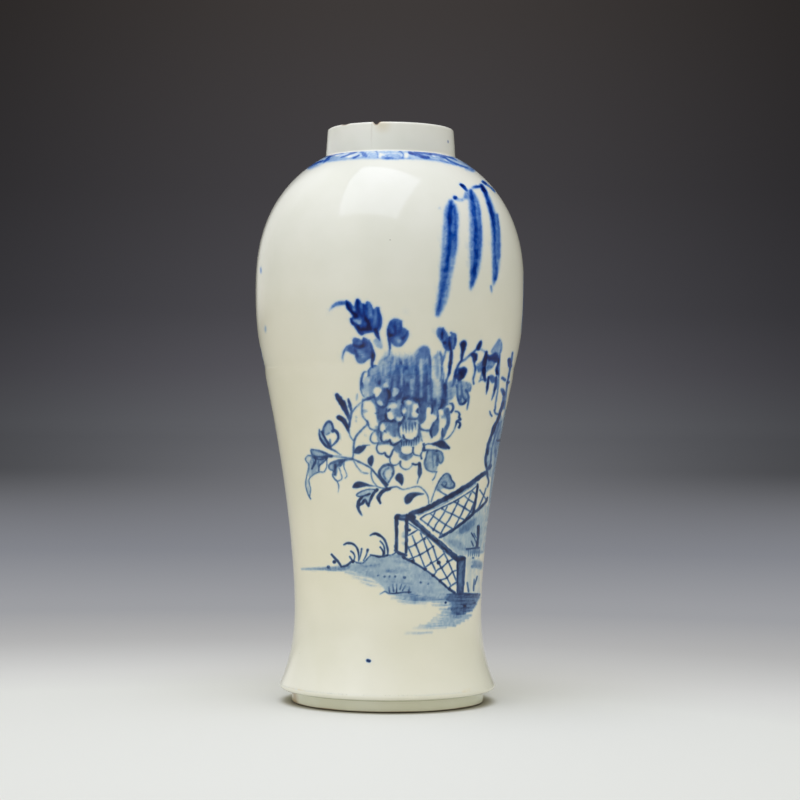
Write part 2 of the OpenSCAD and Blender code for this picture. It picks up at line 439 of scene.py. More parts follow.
def split(piece, chosen):
    """Divide the chosen faces of a piece in four."""
    bpy.ops.object.select_all(action="DESELECT")
    piece.select_set(True)
    bpy.context.view_layer.objects.active = piece
    bpy.ops.object.mode_set(mode="EDIT")
    bpy.ops.mesh.select_mode(type="FACE")
    bpy.ops.mesh.select_all(action="DESELECT")
    bpy.ops.object.mode_set(mode="OBJECT")
    piece.data.polygons.foreach_set("select", chosen)
    bpy.ops.object.mode_set(mode="EDIT")
    bpy.ops.mesh.subdivide(number_cuts=1, ngon=True)
    bpy.ops.object.mode_set(mode="OBJECT")


def middles(piece):
    """Centres of the faces in millimetres, and how many corners each has."""
    mesh = piece.data
    centre = np.empty(len(mesh.polygons) * 3)
    corners = np.empty(len(mesh.polygons), np.int32)
    mesh.polygons.foreach_get("center", centre)
    mesh.polygons.foreach_get("loop_total", corners)
    return centre.reshape(-1, 3) * 1000, corners


def round_from_front(points):
    """How far round the axis places lie from the front, in radians."""
    return np.arctan2(points[:, 0], -points[:, 1])


def mark(piece, name, values):
    """Keep a value for each vertex, for the materials to read."""
    layer = piece.data.attributes.new(name, "FLOAT", "POINT")
    layer.data.foreach_set("value", values.astype(np.float32))


# How far a place lies across from the notch and from the chip, round the rim
breaks = ((-12.7, 4.0, 1.4), (-46, 6.0, 0.5))
for _ in range(2):
    centre, corners = middles(neck)
    turn = np.degrees(round_from_front(centre))
    close = np.zeros(len(centre), bool)
    for at, width, depth in breaks:
        close |= (np.abs(turn - at) < 60 * width / 31) & (centre[:, 2] > rim_z - depth - 1.2)
    split(neck, close & (corners == 4))
points = places(neck)
turn = np.degrees(round_from_front(points))
bare = np.zeros(len(points))
for at, width, depth in breaks:
    across = np.radians(turn - at) * np.hypot(points[:, 0], points[:, 1])
    jag = 0.09 * np.sin(across * 5.1 + points[:, 1] * 0.9) * np.sin(points[:, 0] * 3.7)
    if depth > 1:
        floor = rim_z - depth * np.clip(1.45 * (1 - np.abs(across + 0.25) / (width / 2)), 0, 1)
    else:
        floor = rim_z - depth * np.clip(1 - (across / (width / 2)) ** 2, 0, 1)
    floor = np.where(np.abs(across) < width / 2, floor + jag * depth / 2, 1e9)
    cut = points[:, 2] > floor
    points[cut, 2] = floor[cut]
    bare[cut] = 1
    bare[~cut & (points[:, 2] > floor - 0.45) & (np.abs(across) < width / 2 + 0.4)] = 0.5
put(neck, points)
mark(neck, "bare", bare)
neck_glaze, tree, shader, coat = glazed("neck glaze", srgb(243, 242, 232), patches=1.3, specks=1.6)
# A hairline runs down from the notch, with a warm stain beside it, and a blue fleck sits at the right
across, deep, up = apart(tree, here(tree))
wander = scaled(tree, noise(tree, here(tree), 160, 3, 0.6), 0.2, 0.8, -0.0096, -0.009)
beside = sums(tree, "ABSOLUTE", sums(tree, "SUBTRACT", across, wander))
hairline = sums(tree, "MULTIPLY", scaled(tree, beside, 0.0001, 0.0006, 1, 0),
                sums(tree, "MULTIPLY", scaled(tree, deep, -0.02, -0.01, 1, 0),
                     scaled(tree, up, 0.2695, 0.2835, 0.15, 0.8)))
tone = coat.outputs["Colour"]
for spot_at, core, rim, share, colour in (
        ((-0.004, -0.0313, 0.2835), 0.0005, 0.006, 0.4, srgb(222, 206, 166)),
        (None, 0, 0, 0.15, srgb(150, 118, 84)),
        ((-0.0094, -0.0312, 0.2838), 0.0002, 0.0012, 0.6, srgb(150, 104, 60)),
        ((0.0283, -0.01485, 0.2775), 0.0003, 0.0012, 0.75, srgb(60, 96, 170))):
    mask = hairline
    if spot_at:
        mask = scaled(tree, vector(tree, "DISTANCE", here(tree), spot_at), core, rim, 1, 0)
    tone = mixed(tree, "MIX", sums(tree, "MULTIPLY", mask, share), tone, colour)
bare_clay(tree, shader, tone, coat.outputs["Roughness"],
          node(tree, "Attribute", attribute_name="bare").outputs["Fac"])
neck.data.materials.append(neck_glaze)
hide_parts("neck")
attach(neck, "root")


# Painting: the garden in cobalt blue, put on the dry body with a soft brush under the glaze. Its
# strokes are laid on a canvas that unrolls the outer wall, and the wall then carries their colour.
def wall_r(z):
    return np.where(np.asarray(z) < seam_z, lower_out(z), upper_out(z))


# The canvas: rows up the wall by its length, columns round it from the front
ROW = 0.25
COLS = 1680
fine_z = np.linspace(skirt_z, neck_z, 6001)
fine_r = wall_r(fine_z)
fine_s = np.concatenate(([0], np.cumsum(np.hypot(np.diff(fine_z), np.diff(fine_r)))))
ROWS = int(fine_s[-1] / ROW) + 1
row_z = np.interp(np.arange(ROWS) * ROW, fine_s, fine_z)
row_r = wall_r(row_z)
cobalt = np.zeros((ROWS, COLS))
iron = np.zeros((ROWS, COLS))

# The front as it is seen from arm's length: across and up, for each canvas point
EYE = 138.0
REACH = 1070.0
NEAREST = 0.93
HALF = COLS * 84 // 360
turns = (np.arange(2 * HALF + 1) - HALF) * 2 * math.pi / COLS
near = (REACH - row_r[:, None] * np.cos(turns)[None]) / REACH
seen_x = row_r[:, None] * np.sin(turns)[None] / near
seen_z = EYE + (row_z[:, None] - EYE) / near

rng = np.random.default_rng(5)
ACROSS, DOWN = 97, 89
GRAIN = rng.random((ACROSS, DOWN))


def grain(u, v):
    """Smooth random values from 0 to 1 over a plane."""
    ui, vi = np.floor(u).astype(int), np.floor(v).astype(int)
    fu, fv = u - ui, v - vi
    fu, fv = fu * fu * (3 - 2 * fu), fv * fv * (3 - 2 * fv)
    u0, u1, v0, v1 = ui % ACROSS, (ui + 1) % ACROSS, vi % DOWN, (vi + 1) % DOWN
    a, b, c, d = GRAIN[u0, v0], GRAIN[u1, v0], GRAIN[u0, v1], GRAIN[u1, v1]
    return (a * (1 - fu) + b * fu) * (1 - fv) + (c * (1 - fu) + d * fu) * fv


class Hand:
    """Where the strokes go that follow, their size, and how hard and how full the brush is held."""


def place(turn=0.0, to=None, about=(0.0, 0.0), size=1.0, flip=False, press=1.0, load=1.0):
    Hand.turn, Hand.about, Hand.to, Hand.size = turn, about, to or about, size
    Hand.sides, Hand.press, Hand.load = (-1.0 if flip else 1.0, 1.0), press, load


place()
BEND_STEPS = 5


def bend(points, closed=False):
    """A smooth line through points, given as numbers or in pairs, or a closed ring."""
    pts = np.reshape(np.hstack(points), (-1, 2))
    pts = (pts - Hand.about) * Hand.size * Hand.sides + Hand.to
    if len(pts) == 2:
        return pts
    first, last = (pts[-1:], pts[:2]) if closed else ([2 * pts[0] - pts[1]], [2 * pts[-1] - pts[-2]])
    ends = np.vstack([first, pts, last])
    t = np.linspace(0, 1, BEND_STEPS, endpoint=False)[:, None]
    out = []
    for p0, p1, p2, p3 in zip(ends, ends[1:], ends[2:], ends[3:]):
        out.append(0.5 * (2 * p1 + (p2 - p0) * t + (2 * p0 - 5 * p1 + 4 * p2 - p3) * t ** 2
                          + (3 * p1 - p0 - 3 * p2 + p3) * t ** 3))
    return np.vstack(out + [pts[:1] if closed else pts[-1:]])


def patch(path, margin):
    """The canvas rows and columns that a line reaches, and what is seen there."""
    x0, z0 = path.min(0) - margin
    x1, z1 = path.max(0) + margin
    low = min(EYE + (z0 - EYE) * k for k in (NEAREST, 1))
    high = max(EYE + (z1 - EYE) * k for k in (NEAREST, 1))
    rows = slice(max(0, np.searchsorted(row_z, low) - 1),
                 min(ROWS, np.searchsorted(row_z, high) + 2))
    xs = seen_x[rows]
    reached = ((xs[::6] > x0) & (xs[::6] < x1)).any(0)
    if not reached.any():
        return None
    first, last = np.flatnonzero(reached)[[0, -1]]
    cols = slice(max(0, first - 2), last + 3)
    return rows, cols, seen_x[rows, cols], seen_z[rows, cols]


def nearest(xs, zs, path):
    """Distance to a line, how far along it the nearest point lies, and on which side."""
    best = np.full(xs.shape, 1e9)
    along = np.zeros(xs.shape)
    side = np.zeros(xs.shape)
    for i, (a, b) in enumerate(zip(path, path[1:])):
        ab = b - a
        t = np.clip(((xs - a[0]) * ab[0] + (zs - a[1]) * ab[1]) / max(ab @ ab, 1e-9), 0, 1)
        gap = np.hypot(xs - a[0] - t * ab[0], zs - a[1] - t * ab[1])
        closer = gap < best
        best = np.where(closer, gap, best)
        along = np.where(closer, (i + t) / (len(path) - 1), along)
        side = np.where(closer, gap * np.sign(ab[0] * (zs - a[1]) - ab[1] * (xs - a[0])), side)
    return best, along, side


def soft_edge(depth, soft):
    """A smooth step over the edge of a stroke, from 0 outside to 1 inside."""
    mask = np.clip(depth / soft + 0.5, 0, 1)
    return mask * mask * (3 - 2 * mask)


def lay(layer, rows, cols, amount, lighten=False):
    """Put colour on a layer, the cobalt unless another is named, or lift it off."""
    layer = cobalt if layer is None else layer
    shift = int(round(Hand.turn / 360 * COLS))
    index = (np.arange(cols.start, cols.start + amount.shape[1]) - HALF + shift) % COLS
    old = layer[rows][:, index]
    if lighten:
        new = old * (1 - amount)
    else:
        top, under = np.maximum(old, amount), np.minimum(old, amount)
        new = top + 0.22 * under * (1 - top)
    layer[rows, index] = new


def spread(value, along):
    """A value that may be a list of values along a stroke."""
    value = np.atleast_1d(np.array(value, float))
    return np.interp(along, np.linspace(0, 1, len(value)), value)


def line(ink, width, *points, soft=0.5, hairs=0.0, layer=None, lighten=False):
    """One brush stroke. The ink and the width may be lists along it."""
    path = bend(points)
    margin = float(np.max(width)) * Hand.size / 2 + soft
    found = patch(path, margin)
    if found is None:
        return
    rows, cols, xs, zs = found
    gap, along, side = nearest(xs, zs, path)
    wobble = 0.76 + 0.48 * grain(xs * 0.6 + 11, zs * 0.6)
    half = spread(width, along) * Hand.size * Hand.press / 2 * wobble
    tone = spread(ink, along) * (0.84 + 0.32 * grain(xs * 0.45, zs * 0.45 + 7))
    if not lighten:
        tone = tone * Hand.load
    if hairs:
        length = np.hypot(*np.diff(path, axis=0).T).sum()
        tone = tone + hairs * (grain(side * 1.5 + 40, along * length * 0.12 + path[0, 0]) * 2 - 1)
    lay(layer, rows, cols, soft_edge(half - gap, soft) * np.clip(tone, 0, 1), lighten)


def inside(xs, zs, path):
    """Whether each place lies within a closed line."""
    hit = np.zeros(xs.shape, bool)
    for a, b in zip(path, path[1:]):
        if a[1] != b[1]:
            cross = (a[1] > zs) != (b[1] > zs)
            hit ^= cross & (xs < (b[0] - a[0]) * (zs - a[1]) / (b[1] - a[1]) + a[0])
    return hit


def wash(ink, *points, rim=0.0, soft=0.5, streak=0.0, lean=0.0, layer=None, lighten=False):
    """A patch filled with thin colour, darker at its rim, with streaks left by the hairs."""
    path = bend(points, closed=True)
    found = patch(path, soft)
    if found is None:
        return
    rows, cols, xs, zs = found
    gap = nearest(xs, zs, path)[0]
    depth = np.where(inside(xs, zs, path), gap, -gap)
    tone = ink * (0.9 + 0.2 * grain(xs * 0.45, zs * 0.45)) * (1 if lighten else Hand.load)
    if rim:
        tone = tone + rim * np.exp(-np.clip(depth, 0, None) / 0.55)
    if streak:
        across = xs * math.cos(lean) + zs * math.sin(lean)
        up = zs * math.cos(lean) - xs * math.sin(lean)
        hairs = grain(across * 0.95 + 3, up * 0.07) * 0.7 + grain(across * 2.1, up * 0.12) * 0.3
        tone = tone + streak * (hairs - 0.5) * 2
    lay(layer, rows, cols, soft_edge(depth, soft) * np.clip(tone, 0, 1), lighten)


def lift(share, *points, soft=0.6):
    """A patch wiped back towards white."""
    wash(share, *points, soft=soft, lighten=True)


def dot(ink, width, x, z):
    """A touch of the brush's tip."""
    line(ink, width, x - 0.1, z, x + 0.1, z)


def each(brush, *strokes, **hand):
    """Several strokes of one brush, held the same way."""
    for stroke in strokes:
        brush(*stroke, **hand)


def hairs(count, ink, width, left, right, lighten=False):
    """Fine uneven strokes side by side, from a line at the left to a line at the right."""
    for i in range(count):
        share, tone, thick, short = rng.random(4)
        share = (i + 0.1 + 0.8 * share) / count
        points = (1 - share) * np.array(left, float) + share * np.array(right, float)
        points[-1] += (points[-2] - points[-1]) * (short * 0.5 - 0.1)
        tone = ink * (0.75 + 0.4 * tone)
        thick = width * (0.7 + 0.7 * thick)
        line([tone * 0.8, tone, tone * 0.45], [thick * 0.7, thick, thick * 0.5], *points, soft=0.8,
             lighten=lighten)


def run_together(layer):
    """The glaze lets the colour run a little, more so high up, where it was thicker."""
    soft = layer
    for _ in range(9):
        for axis in (0, 1):
            soft = soft * 0.5 + (np.roll(soft, 1, axis) + np.roll(soft, -1, axis)) * 0.25
    share = np.interp(row_z, (80, 190), (0.15, 0.68))[:, None]
    layer[:] = np.clip(layer * (1 - share) + soft * share * 1.08, 0, 1)


def pool(layer):
    """The colour settles unevenly as it dries, in small pools."""
    up, round_it = np.arange(ROWS)[:, None] * ROW, np.arange(COLS)[None] * ACROSS / COLS
    uneven = 0.5 * grain(round_it * 6, up * 1.5) + 0.5 * grain(round_it * 3 + 50, up * 0.75 + 31) - 0.5
    middle = layer * (1 - layer) * 4
    layer[:] = np.clip(layer + middle * (0.3 * uneven + 0.07 * (2 * layer - 0.95)), 0, 1)


def neck_border():
    # two uneven bands with breaks, and short strokes and clouds between them
    line([0.36, 0.2, 0.22, 0.18, 0.2, 0.26, 0.2, 0.32], 3.6, -41, 266.6, -34, 269.6, -24, 271.8, -12, 273,
         0, 273.2, 12, 273, 24, 271.4, 34, 269, 41, 266, soft=1.3, hairs=0.12)
    line([0.42, 0.36, 0.26, 0.3, 0.4, 0.3, 0.26, 0.36, 0.42], 1.3, -42, 266.2, -34, 268.8, -24, 270.4,
         -12, 271.2, 0, 271.3, 12, 271, 24, 270, 34, 268, 41, 265.6, soft=1.5)
    for x, z in ((-27, 272.6), (-21, 271.9), (-9, 273.2), (-5.2, 272.6), (7.6, 272.8), (21.6, 272.6),
            (28, 270.6)):
        lift(0.85, x - 1.3, z, x, z + 0.9, x + 1.4, z + 0.1, x + 0.2, z - 0.8)
    line(0.4, 0.8, -4, 270.7, 2, 270.7, 6.4, 271, soft=0.8)
    each(line,
        ([0.55, 0.5, 0.6], 0.7, -33, 271.6, -26, 273.2, -18, 274.3, -8, 275, 4, 275, 14, 274.3, 24, 273,
         31.6, 271.3),
        (0.6, [0.9, 1.8, 0.9], -30, 272.2, -31.4, 270.4, -33.4, 269),
        ([0.6, 0.75], 0.9, -40.4, 266.8, -37, 268.4, -34, 269.4),
        (0.62, 0.8, -30, 271.8, -27, 272.8, -24, 273.4),
        (0.62, 0.9, -24.8, 271.3, -22, 272.2, -20, 273.2),
        (0.6, 0.8, -20, 273, -18.4, 273.6, -16.8, 274.2),
        (0.62, 0.9, -18.8, 271, -17.2, 271.6, -15.8, 272.4),
        (0.56, [1, 2.2, 1.2], -15, 274.2, -13.4, 273, -12, 271.8))
    wash(0.24, -11.6, 273.4, -7.4, 273.6, -7, 271.8, -11, 271.6)
    line(0.55, 0.7, -7.2, 274.4, -6.4, 273, -6.6, 271.4)
    wash(0.3, -2, 273, 4, 273, 4.6, 271.8, -2.4, 271.8)
    each(line,
        (0.5, 0.9, -2.6, 271, -0.6, 271.2, 1.6, 270.8),
        (0.5, 0.8, 4.6, 274.4, 6, 273.6, 6.4, 272.2, 5.8, 271.2),
        ([0.74, 0.7, 0.64], [1.4, 2, 1.3], 9.4, 273.8, 11, 273.4, 13, 273, 15.4, 272.2, 18.6, 271.6),
        ([0.64, 0.72], 0.9, 12, 274.4, 14.6, 273.7, 17, 273.5, 20.4, 273),
        (0.7, 1, 15.6, 271.6, 17.6, 271.2, 19.2, 271.4),
        ([0.5, 0.62, 0.6], [0.8, 1, 0.8], 21, 273, 24, 272.4, 27, 271.5, 29.5, 270, 32, 268.8, 35, 267.6,
         38.4, 266.4),
        (0.62, 0.8, 22, 273.4, 26, 272.4, 30, 271.4, 33, 270.2),
        (0.4, 1, 25, 270, 29, 269, 33, 267.8))
    each(lift,
        (0.8, -6, 272.8, -4.8, 273.6, -4.6, 271.4, -5.8, 271.2),
        (0.8, 6.8, 272, 7.2, 273.6, 8.6, 273.6, 8.8, 271.4, 7.4, 271))


def fronds():
    # each: a soft wide blade, then its strong middle and a side stroke
    wash(0.46, 30.4, 250, 33.3, 246.6, 34.3, 240, 34, 235, 34, 230, 33.7, 225, 32.6, 220, 31.6, 215,
         30.6, 210, 29.8, 205, 28.8, 200, 27, 196, 24.6, 191.8, 23.2, 192.6, 22.8, 196, 23.3, 200,
         24.2, 205, 25, 210, 25, 215, 25.4, 220, 25.8, 225, 26, 230, 26.3, 235, 26.8, 240, 27, 245,
         28.6, 248.6, soft=1.9, streak=0.14)
    line([0.86, 0.92, 0.84, 0.86, 0.82, 0.82, 0.76, 0.74, 0.7], [2, 3.2, 2.8, 3, 2.6, 2.8, 2.4, 2.6, 1.8],
         30.4, 249.4, 30, 245, 29.8, 240, 30, 235, 29.7, 230, 29.2, 225, 28.7, 220, 28.2, 215, 27.3, 210,
         26.5, 205, 25.8, 200, 24.8, 196, 24, 192.8, soft=1.7, hairs=0.14)
    line([0.58, 0.68, 0.62, 0.55], [2, 3, 2.6, 2], 32, 247.6, 32.6, 241, 32.4, 235, 32.4, 229, 31.4, 222,
         soft=1.6, hairs=0.2)
    line([0.5, 0.6, 0.5], 1.6, 26.8, 222, 26, 213, 25.2, 204, 24, 196, soft=1.5)
    wash(0.48, 40, 255.4, 42.8, 253, 44.8, 248, 45.6, 242, 46, 237, 46.4, 232, 46.2, 227, 45.7, 222,
         45.2, 217, 43.8, 212, 42.4, 208, 40.7, 205, 39.8, 207, 40, 212, 40, 217, 39.7, 222, 39.6, 227,
         39.8, 232, 39.7, 237, 39.6, 242, 39.3, 247, 38.8, 252, soft=1.7, streak=0.14)
    line([0.84, 0.88, 0.82, 0.84, 0.84, 0.94, 0.8], [1.8, 2.6, 2.2, 2.6, 2.6, 2.6, 1.4], 40.2, 255, 41, 250,
         41.8, 245, 42.5, 240, 43, 235, 43, 230, 43, 225, 42.8, 220, 42.4, 215, 42, 211, 41.2, 207.4,
         soft=1.5, hairs=0.14)
    line(0.62, [1.4, 2.2, 1.4], 44.2, 247, 44.8, 240, 45, 232, 44.6, 224, 44, 217, soft=1.4, hairs=0.1)
    line([0.45, 0.6, 0.8], 1.3, 40.6, 232, 40.8, 222, 40.8, 215, 40.7, 208, soft=1.3)
    wash(0.5, 45.6, 257.8, 47.4, 255.8, 50, 251.6, 52, 246.6, 53.8, 241, 55, 236, 55.4, 230, 55.4, 224,
         55, 218, 54.2, 213, 53, 209.4, 51.8, 207.4, 51.4, 211, 51.2, 216, 51, 222, 50.7, 228, 50.6, 234,
         50, 240, 49, 245, 47.7, 250, 46.2, 254, soft=1.5, streak=0.14)
    line([1, 0.85, 0.86, 0.72, 0.7, 0.9], [2, 2, 2.2, 1.8, 1.6, 1.6], 45.8, 257.4, 47.8, 253.4, 49.4, 248.8,
         51, 243.6, 52, 238, 52.4, 232, 52.4, 226, 52.8, 220, 53.2, 214.6, 52.6, 210.4, soft=1.3, hairs=0.1)
    line(0.6, 1.4, 53.4, 243, 54.3, 237, 54.6, 231, 54.6, 222, soft=1.2)
    # twigs
    line([1, 0.97, 0.8], [1.5, 1.8, 1.2], 35.2, 258, 37, 256.6, 38.4, 255)
    dot(0.97, 1.9, 32.5, 251.4)
    line(0.35, 1.6, 33.4, 250.6, 36, 250.4, 38, 252, soft=0.9)
    wash(0.42, 36.6, 251.6, 37.6, 254.8, 39.4, 255, 39, 250.8, soft=0.9)
    each(line,
        ([0.5, 0.9, 0.88], [1.2, 1.5, 1.3], 41.2, 256.4, 43, 257, 45, 257),
        (0.88, 1.5, 46.4, 259.4, 47.6, 258.5),
        ([0.5, 0.6], 1.1, 47.8, 258.4, 50, 256.8, 52.2, 254.6),
        ([0.7, 0.4], [1, 0.6], 50.7, 207.2, 51, 204.2))
    dot(0.25, 1.1, 24.7, 246.3)


def upper_leaves():
    # the great curled leaf
    wash(0.66, -21.8, 199.2, -19.6, 198.6, -18, 196.4, -17.3, 198.8, -16.2, 200.6, -14.8, 199.6, -13.8, 198,
         -12.6, 197.4, -11.5, 199.3, -10, 198.8, -8.8, 197, -8, 195.4, -6.6, 196.6, -5.5, 196, -5, 193.6,
         -4.2, 192.5, -3.7, 190, -4, 187, -5, 184.6, -6.6, 184, -9, 183.6, -12, 183, -14, 182.2, -15.4, 183,
         -16.4, 185, -18, 187, -19.3, 189, -19.5, 190.4, -18.5, 191.6, -19.5, 193.6, -21, 195.6,
         streak=0.14, rim=0.1)
    each(line,
        ([0.25, 0.55, 0.6, 0.5], [0.5, 1.5, 2, 1.7], -30.3, 194.2, -28.8, 196.2, -26.8, 197.6, -24.5, 198.2,
         -21.6, 198.2),
        ([0.9, 0.98], [1.2, 2], -21.7, 199.2, -21.2, 196.6, -20, 194.8, -18.2, 193, -17, 192.2))
    wash(1, -18.6, 192.6, -17.4, 193.6, -15.8, 192.8, -15.4, 191.2, -16.6, 190.2, -18.2, 190.6, soft=1)
    each(line,
        ([0.85, 0.92, 0.8], [1.3, 1.9, 1.5], -16.3, 199.8, -16, 196.6, -15.3, 193.6, -13.8, 191.4),
        ([0.75, 0.9], [1.2, 1.7], -13.2, 197.4, -12.8, 194.4, -12.3, 191.6, -11.4, 189),
        ([0.9, 0.98, 0.9], [1.6, 2.6, 1.8], -11.6, 190.4, -10.4, 188.2, -10.6, 186.2, -12.6, 185.4),
        ([0.75, 0.8, 0.75], [1, 1.3, 1.2], -5.7, 196, -5.2, 192, -5.4, 188, -6.2, 185.4),
        ([0.85, 0.9], [1.4, 2.6], -16.4, 187.6, -14.8, 185, -12.4, 185.4, -9.6, 185.8),
        ([0.9, 0.85, 0.8], [1.2, 1.6, 1.2], -19.4, 190.4, -18.8, 188.6, -17.2, 186.8, -15.8, 184.6,
         -14.2, 182.8),
        ([0.98, 1, 0.8], [2.2, 2, 0.7], -7, 185.3, -6.4, 183.2, -5.6, 181.4, -5, 180))
    each(line,
        ([0.2, 0.45, 0.3], [0.8, 2, 1.3], -10.6, 198.4, -10, 195, -9.2, 191.4),
        ([0.3, 0.45, 0.3], [0.8, 1.3, 0.8], -7, 195.4, -7, 191, -7.6, 187.6), soft=0.9, lighten=True)
    each(line,
        ([0.2, 0.4], [0.8, 1.2], -18.8, 197.8, -17.6, 195),
        (0.3, 0.9, -14.6, 198.8, -14, 196), lighten=True)
    lift(0.55, -18.6, 190, -17, 188.6, -15.6, 187.6, -14.2, 188, -14, 189.4, -15.4, 190.2, -17.2, 190.4)
    wash(0.32, -8, 179.6, -6.6, 180.8, -4.6, 180, -3.5, 177.4, -3.7, 175.4, -5.4, 176, -7.2, 177.6,
         soft=0.9)
    # the upright leaf
    wash(0.58, -1, 183, -0.5, 187, 0.6, 189.6, 2.6, 190.7, 5, 190.2, 6, 188.8, 6.3, 186.6, 7.6, 186,
         9, 184.6, 9.7, 182.8, 9, 180.8, 7.8, 178.8, 6.4, 177.2, 4.4, 176.5, 2.4, 177, 1, 178.6, 0.3, 180.6,
         streak=0.1, rim=0.12, soft=0.8)
    each(line,
        ([0.6, 0.85, 0.9, 0.85], [0.9, 1.3, 1.6, 1.2], 0.4, 189.4, -0.5, 186.4, -0.6, 183, 0, 179,
         0.3, 175.8),
        ([0.95, 0.85], [1.8, 1.5], 0, 182.4, 2.2, 182.4),
        ([0.7, 0.88], [1, 1.4], 6, 189.4, 5.6, 186.2, 5, 183.6),
        ([0.6, 0.85], [1.2, 1.9], 2.6, 189.6, 2.8, 186.4, 3.2, 183.4),
        (0.76, [1, 1.7], 9, 184.4, 8.2, 182.4, 6.6, 180.4))
    line([0.2, 0.35], [0.8, 2.2], 2.4, 180.8, 4.8, 179.4, lighten=True, soft=1.2)
    line([0.7, 0.4], [1, 0.7], 0.3, 176.2, 0, 173.6, -0.5, 171.2)
    # the leaf to the left with the long tip
    wash(0.56, -21, 175.8, -19.6, 177.2, -18.4, 178, -18.5, 180, -17.4, 181, -15.6, 180.7, -14, 179.8,
         -12.8, 181, -11.3, 180.6, -9.8, 178.8, -8.7, 176.4, -8.3, 173.4, -9, 171, -10.6, 170.2,
         -12.4, 168.5, -14.5, 168, -16.2, 169, -17, 171, -17.4, 172.4, -19, 173, -20.6, 174, -21.8, 174.5,
         streak=0.08, rim=0.16, soft=0.8)
    each(line,
        ([0.4, 0.66, 0.6], [0.5, 1.1, 1], -23.2, 168.8, -23.4, 171.4, -22.7, 174, -21.3, 176.2,
         -19.4, 177.4),
        ([0.78, 0.86, 0.7], [1.6, 2.2, 1.4], -17.6, 177, -15.2, 176.4, -12.6, 177.2, -11.4, 178.6),
        (0.78, 1.6, -17, 174.6, -16, 172),
        (0.76, 1.2, -12.8, 180.6, -13.2, 178.2),
        ([0.6, 0.75, 0.98, 0.85, 0.7], [0.9, 1.2, 2.2, 1.5, 1.2], -10.4, 179.8, -9, 177, -8.2, 173.6,
         -8.2, 170.8, -8.7, 168.2, -8.3, 166.2),
        (0.7, 0.9, -20.8, 175.8, -19, 174.2, -17.4, 173))
    line([0.2, 0.35, 0.2], [1.2, 2.8, 1.2], -15.4, 174.6, -13, 172, -11, 171.8, lighten=True, soft=1.4)
    # the two spears and the blade at the left
    each(line,
        ([0.95, 0.95, 0.85, 0.7], [2.6, 2.4, 1.5, 0.6], -25, 141, -23, 139.6, -21.4, 137, -20.3, 134.4,
         -19.8, 133),
        ([0.95, 0.97, 0.9, 0.6], [2.2, 3.4, 2.2, 0.8], -26, 152, -24.4, 149.6, -22.6, 146.4, -21, 143,
         -20, 139.4),
        ([0.8, 0.75, 0.6], [1, 1.8, 0.9], -20.4, 150.2, -19.8, 148, -19, 145.2, -18.6, 143),
        ([0.55, 0.65, 0.7], [0.6, 0.9, 1.1], -14.4, 148.4, -16, 146.8, -17.6, 145, -18.8, 142.8,
         -19.4, 139.8, -20, 136.4),
        (0.4, 0.7, -16, 152.6, -16.2, 149.8))


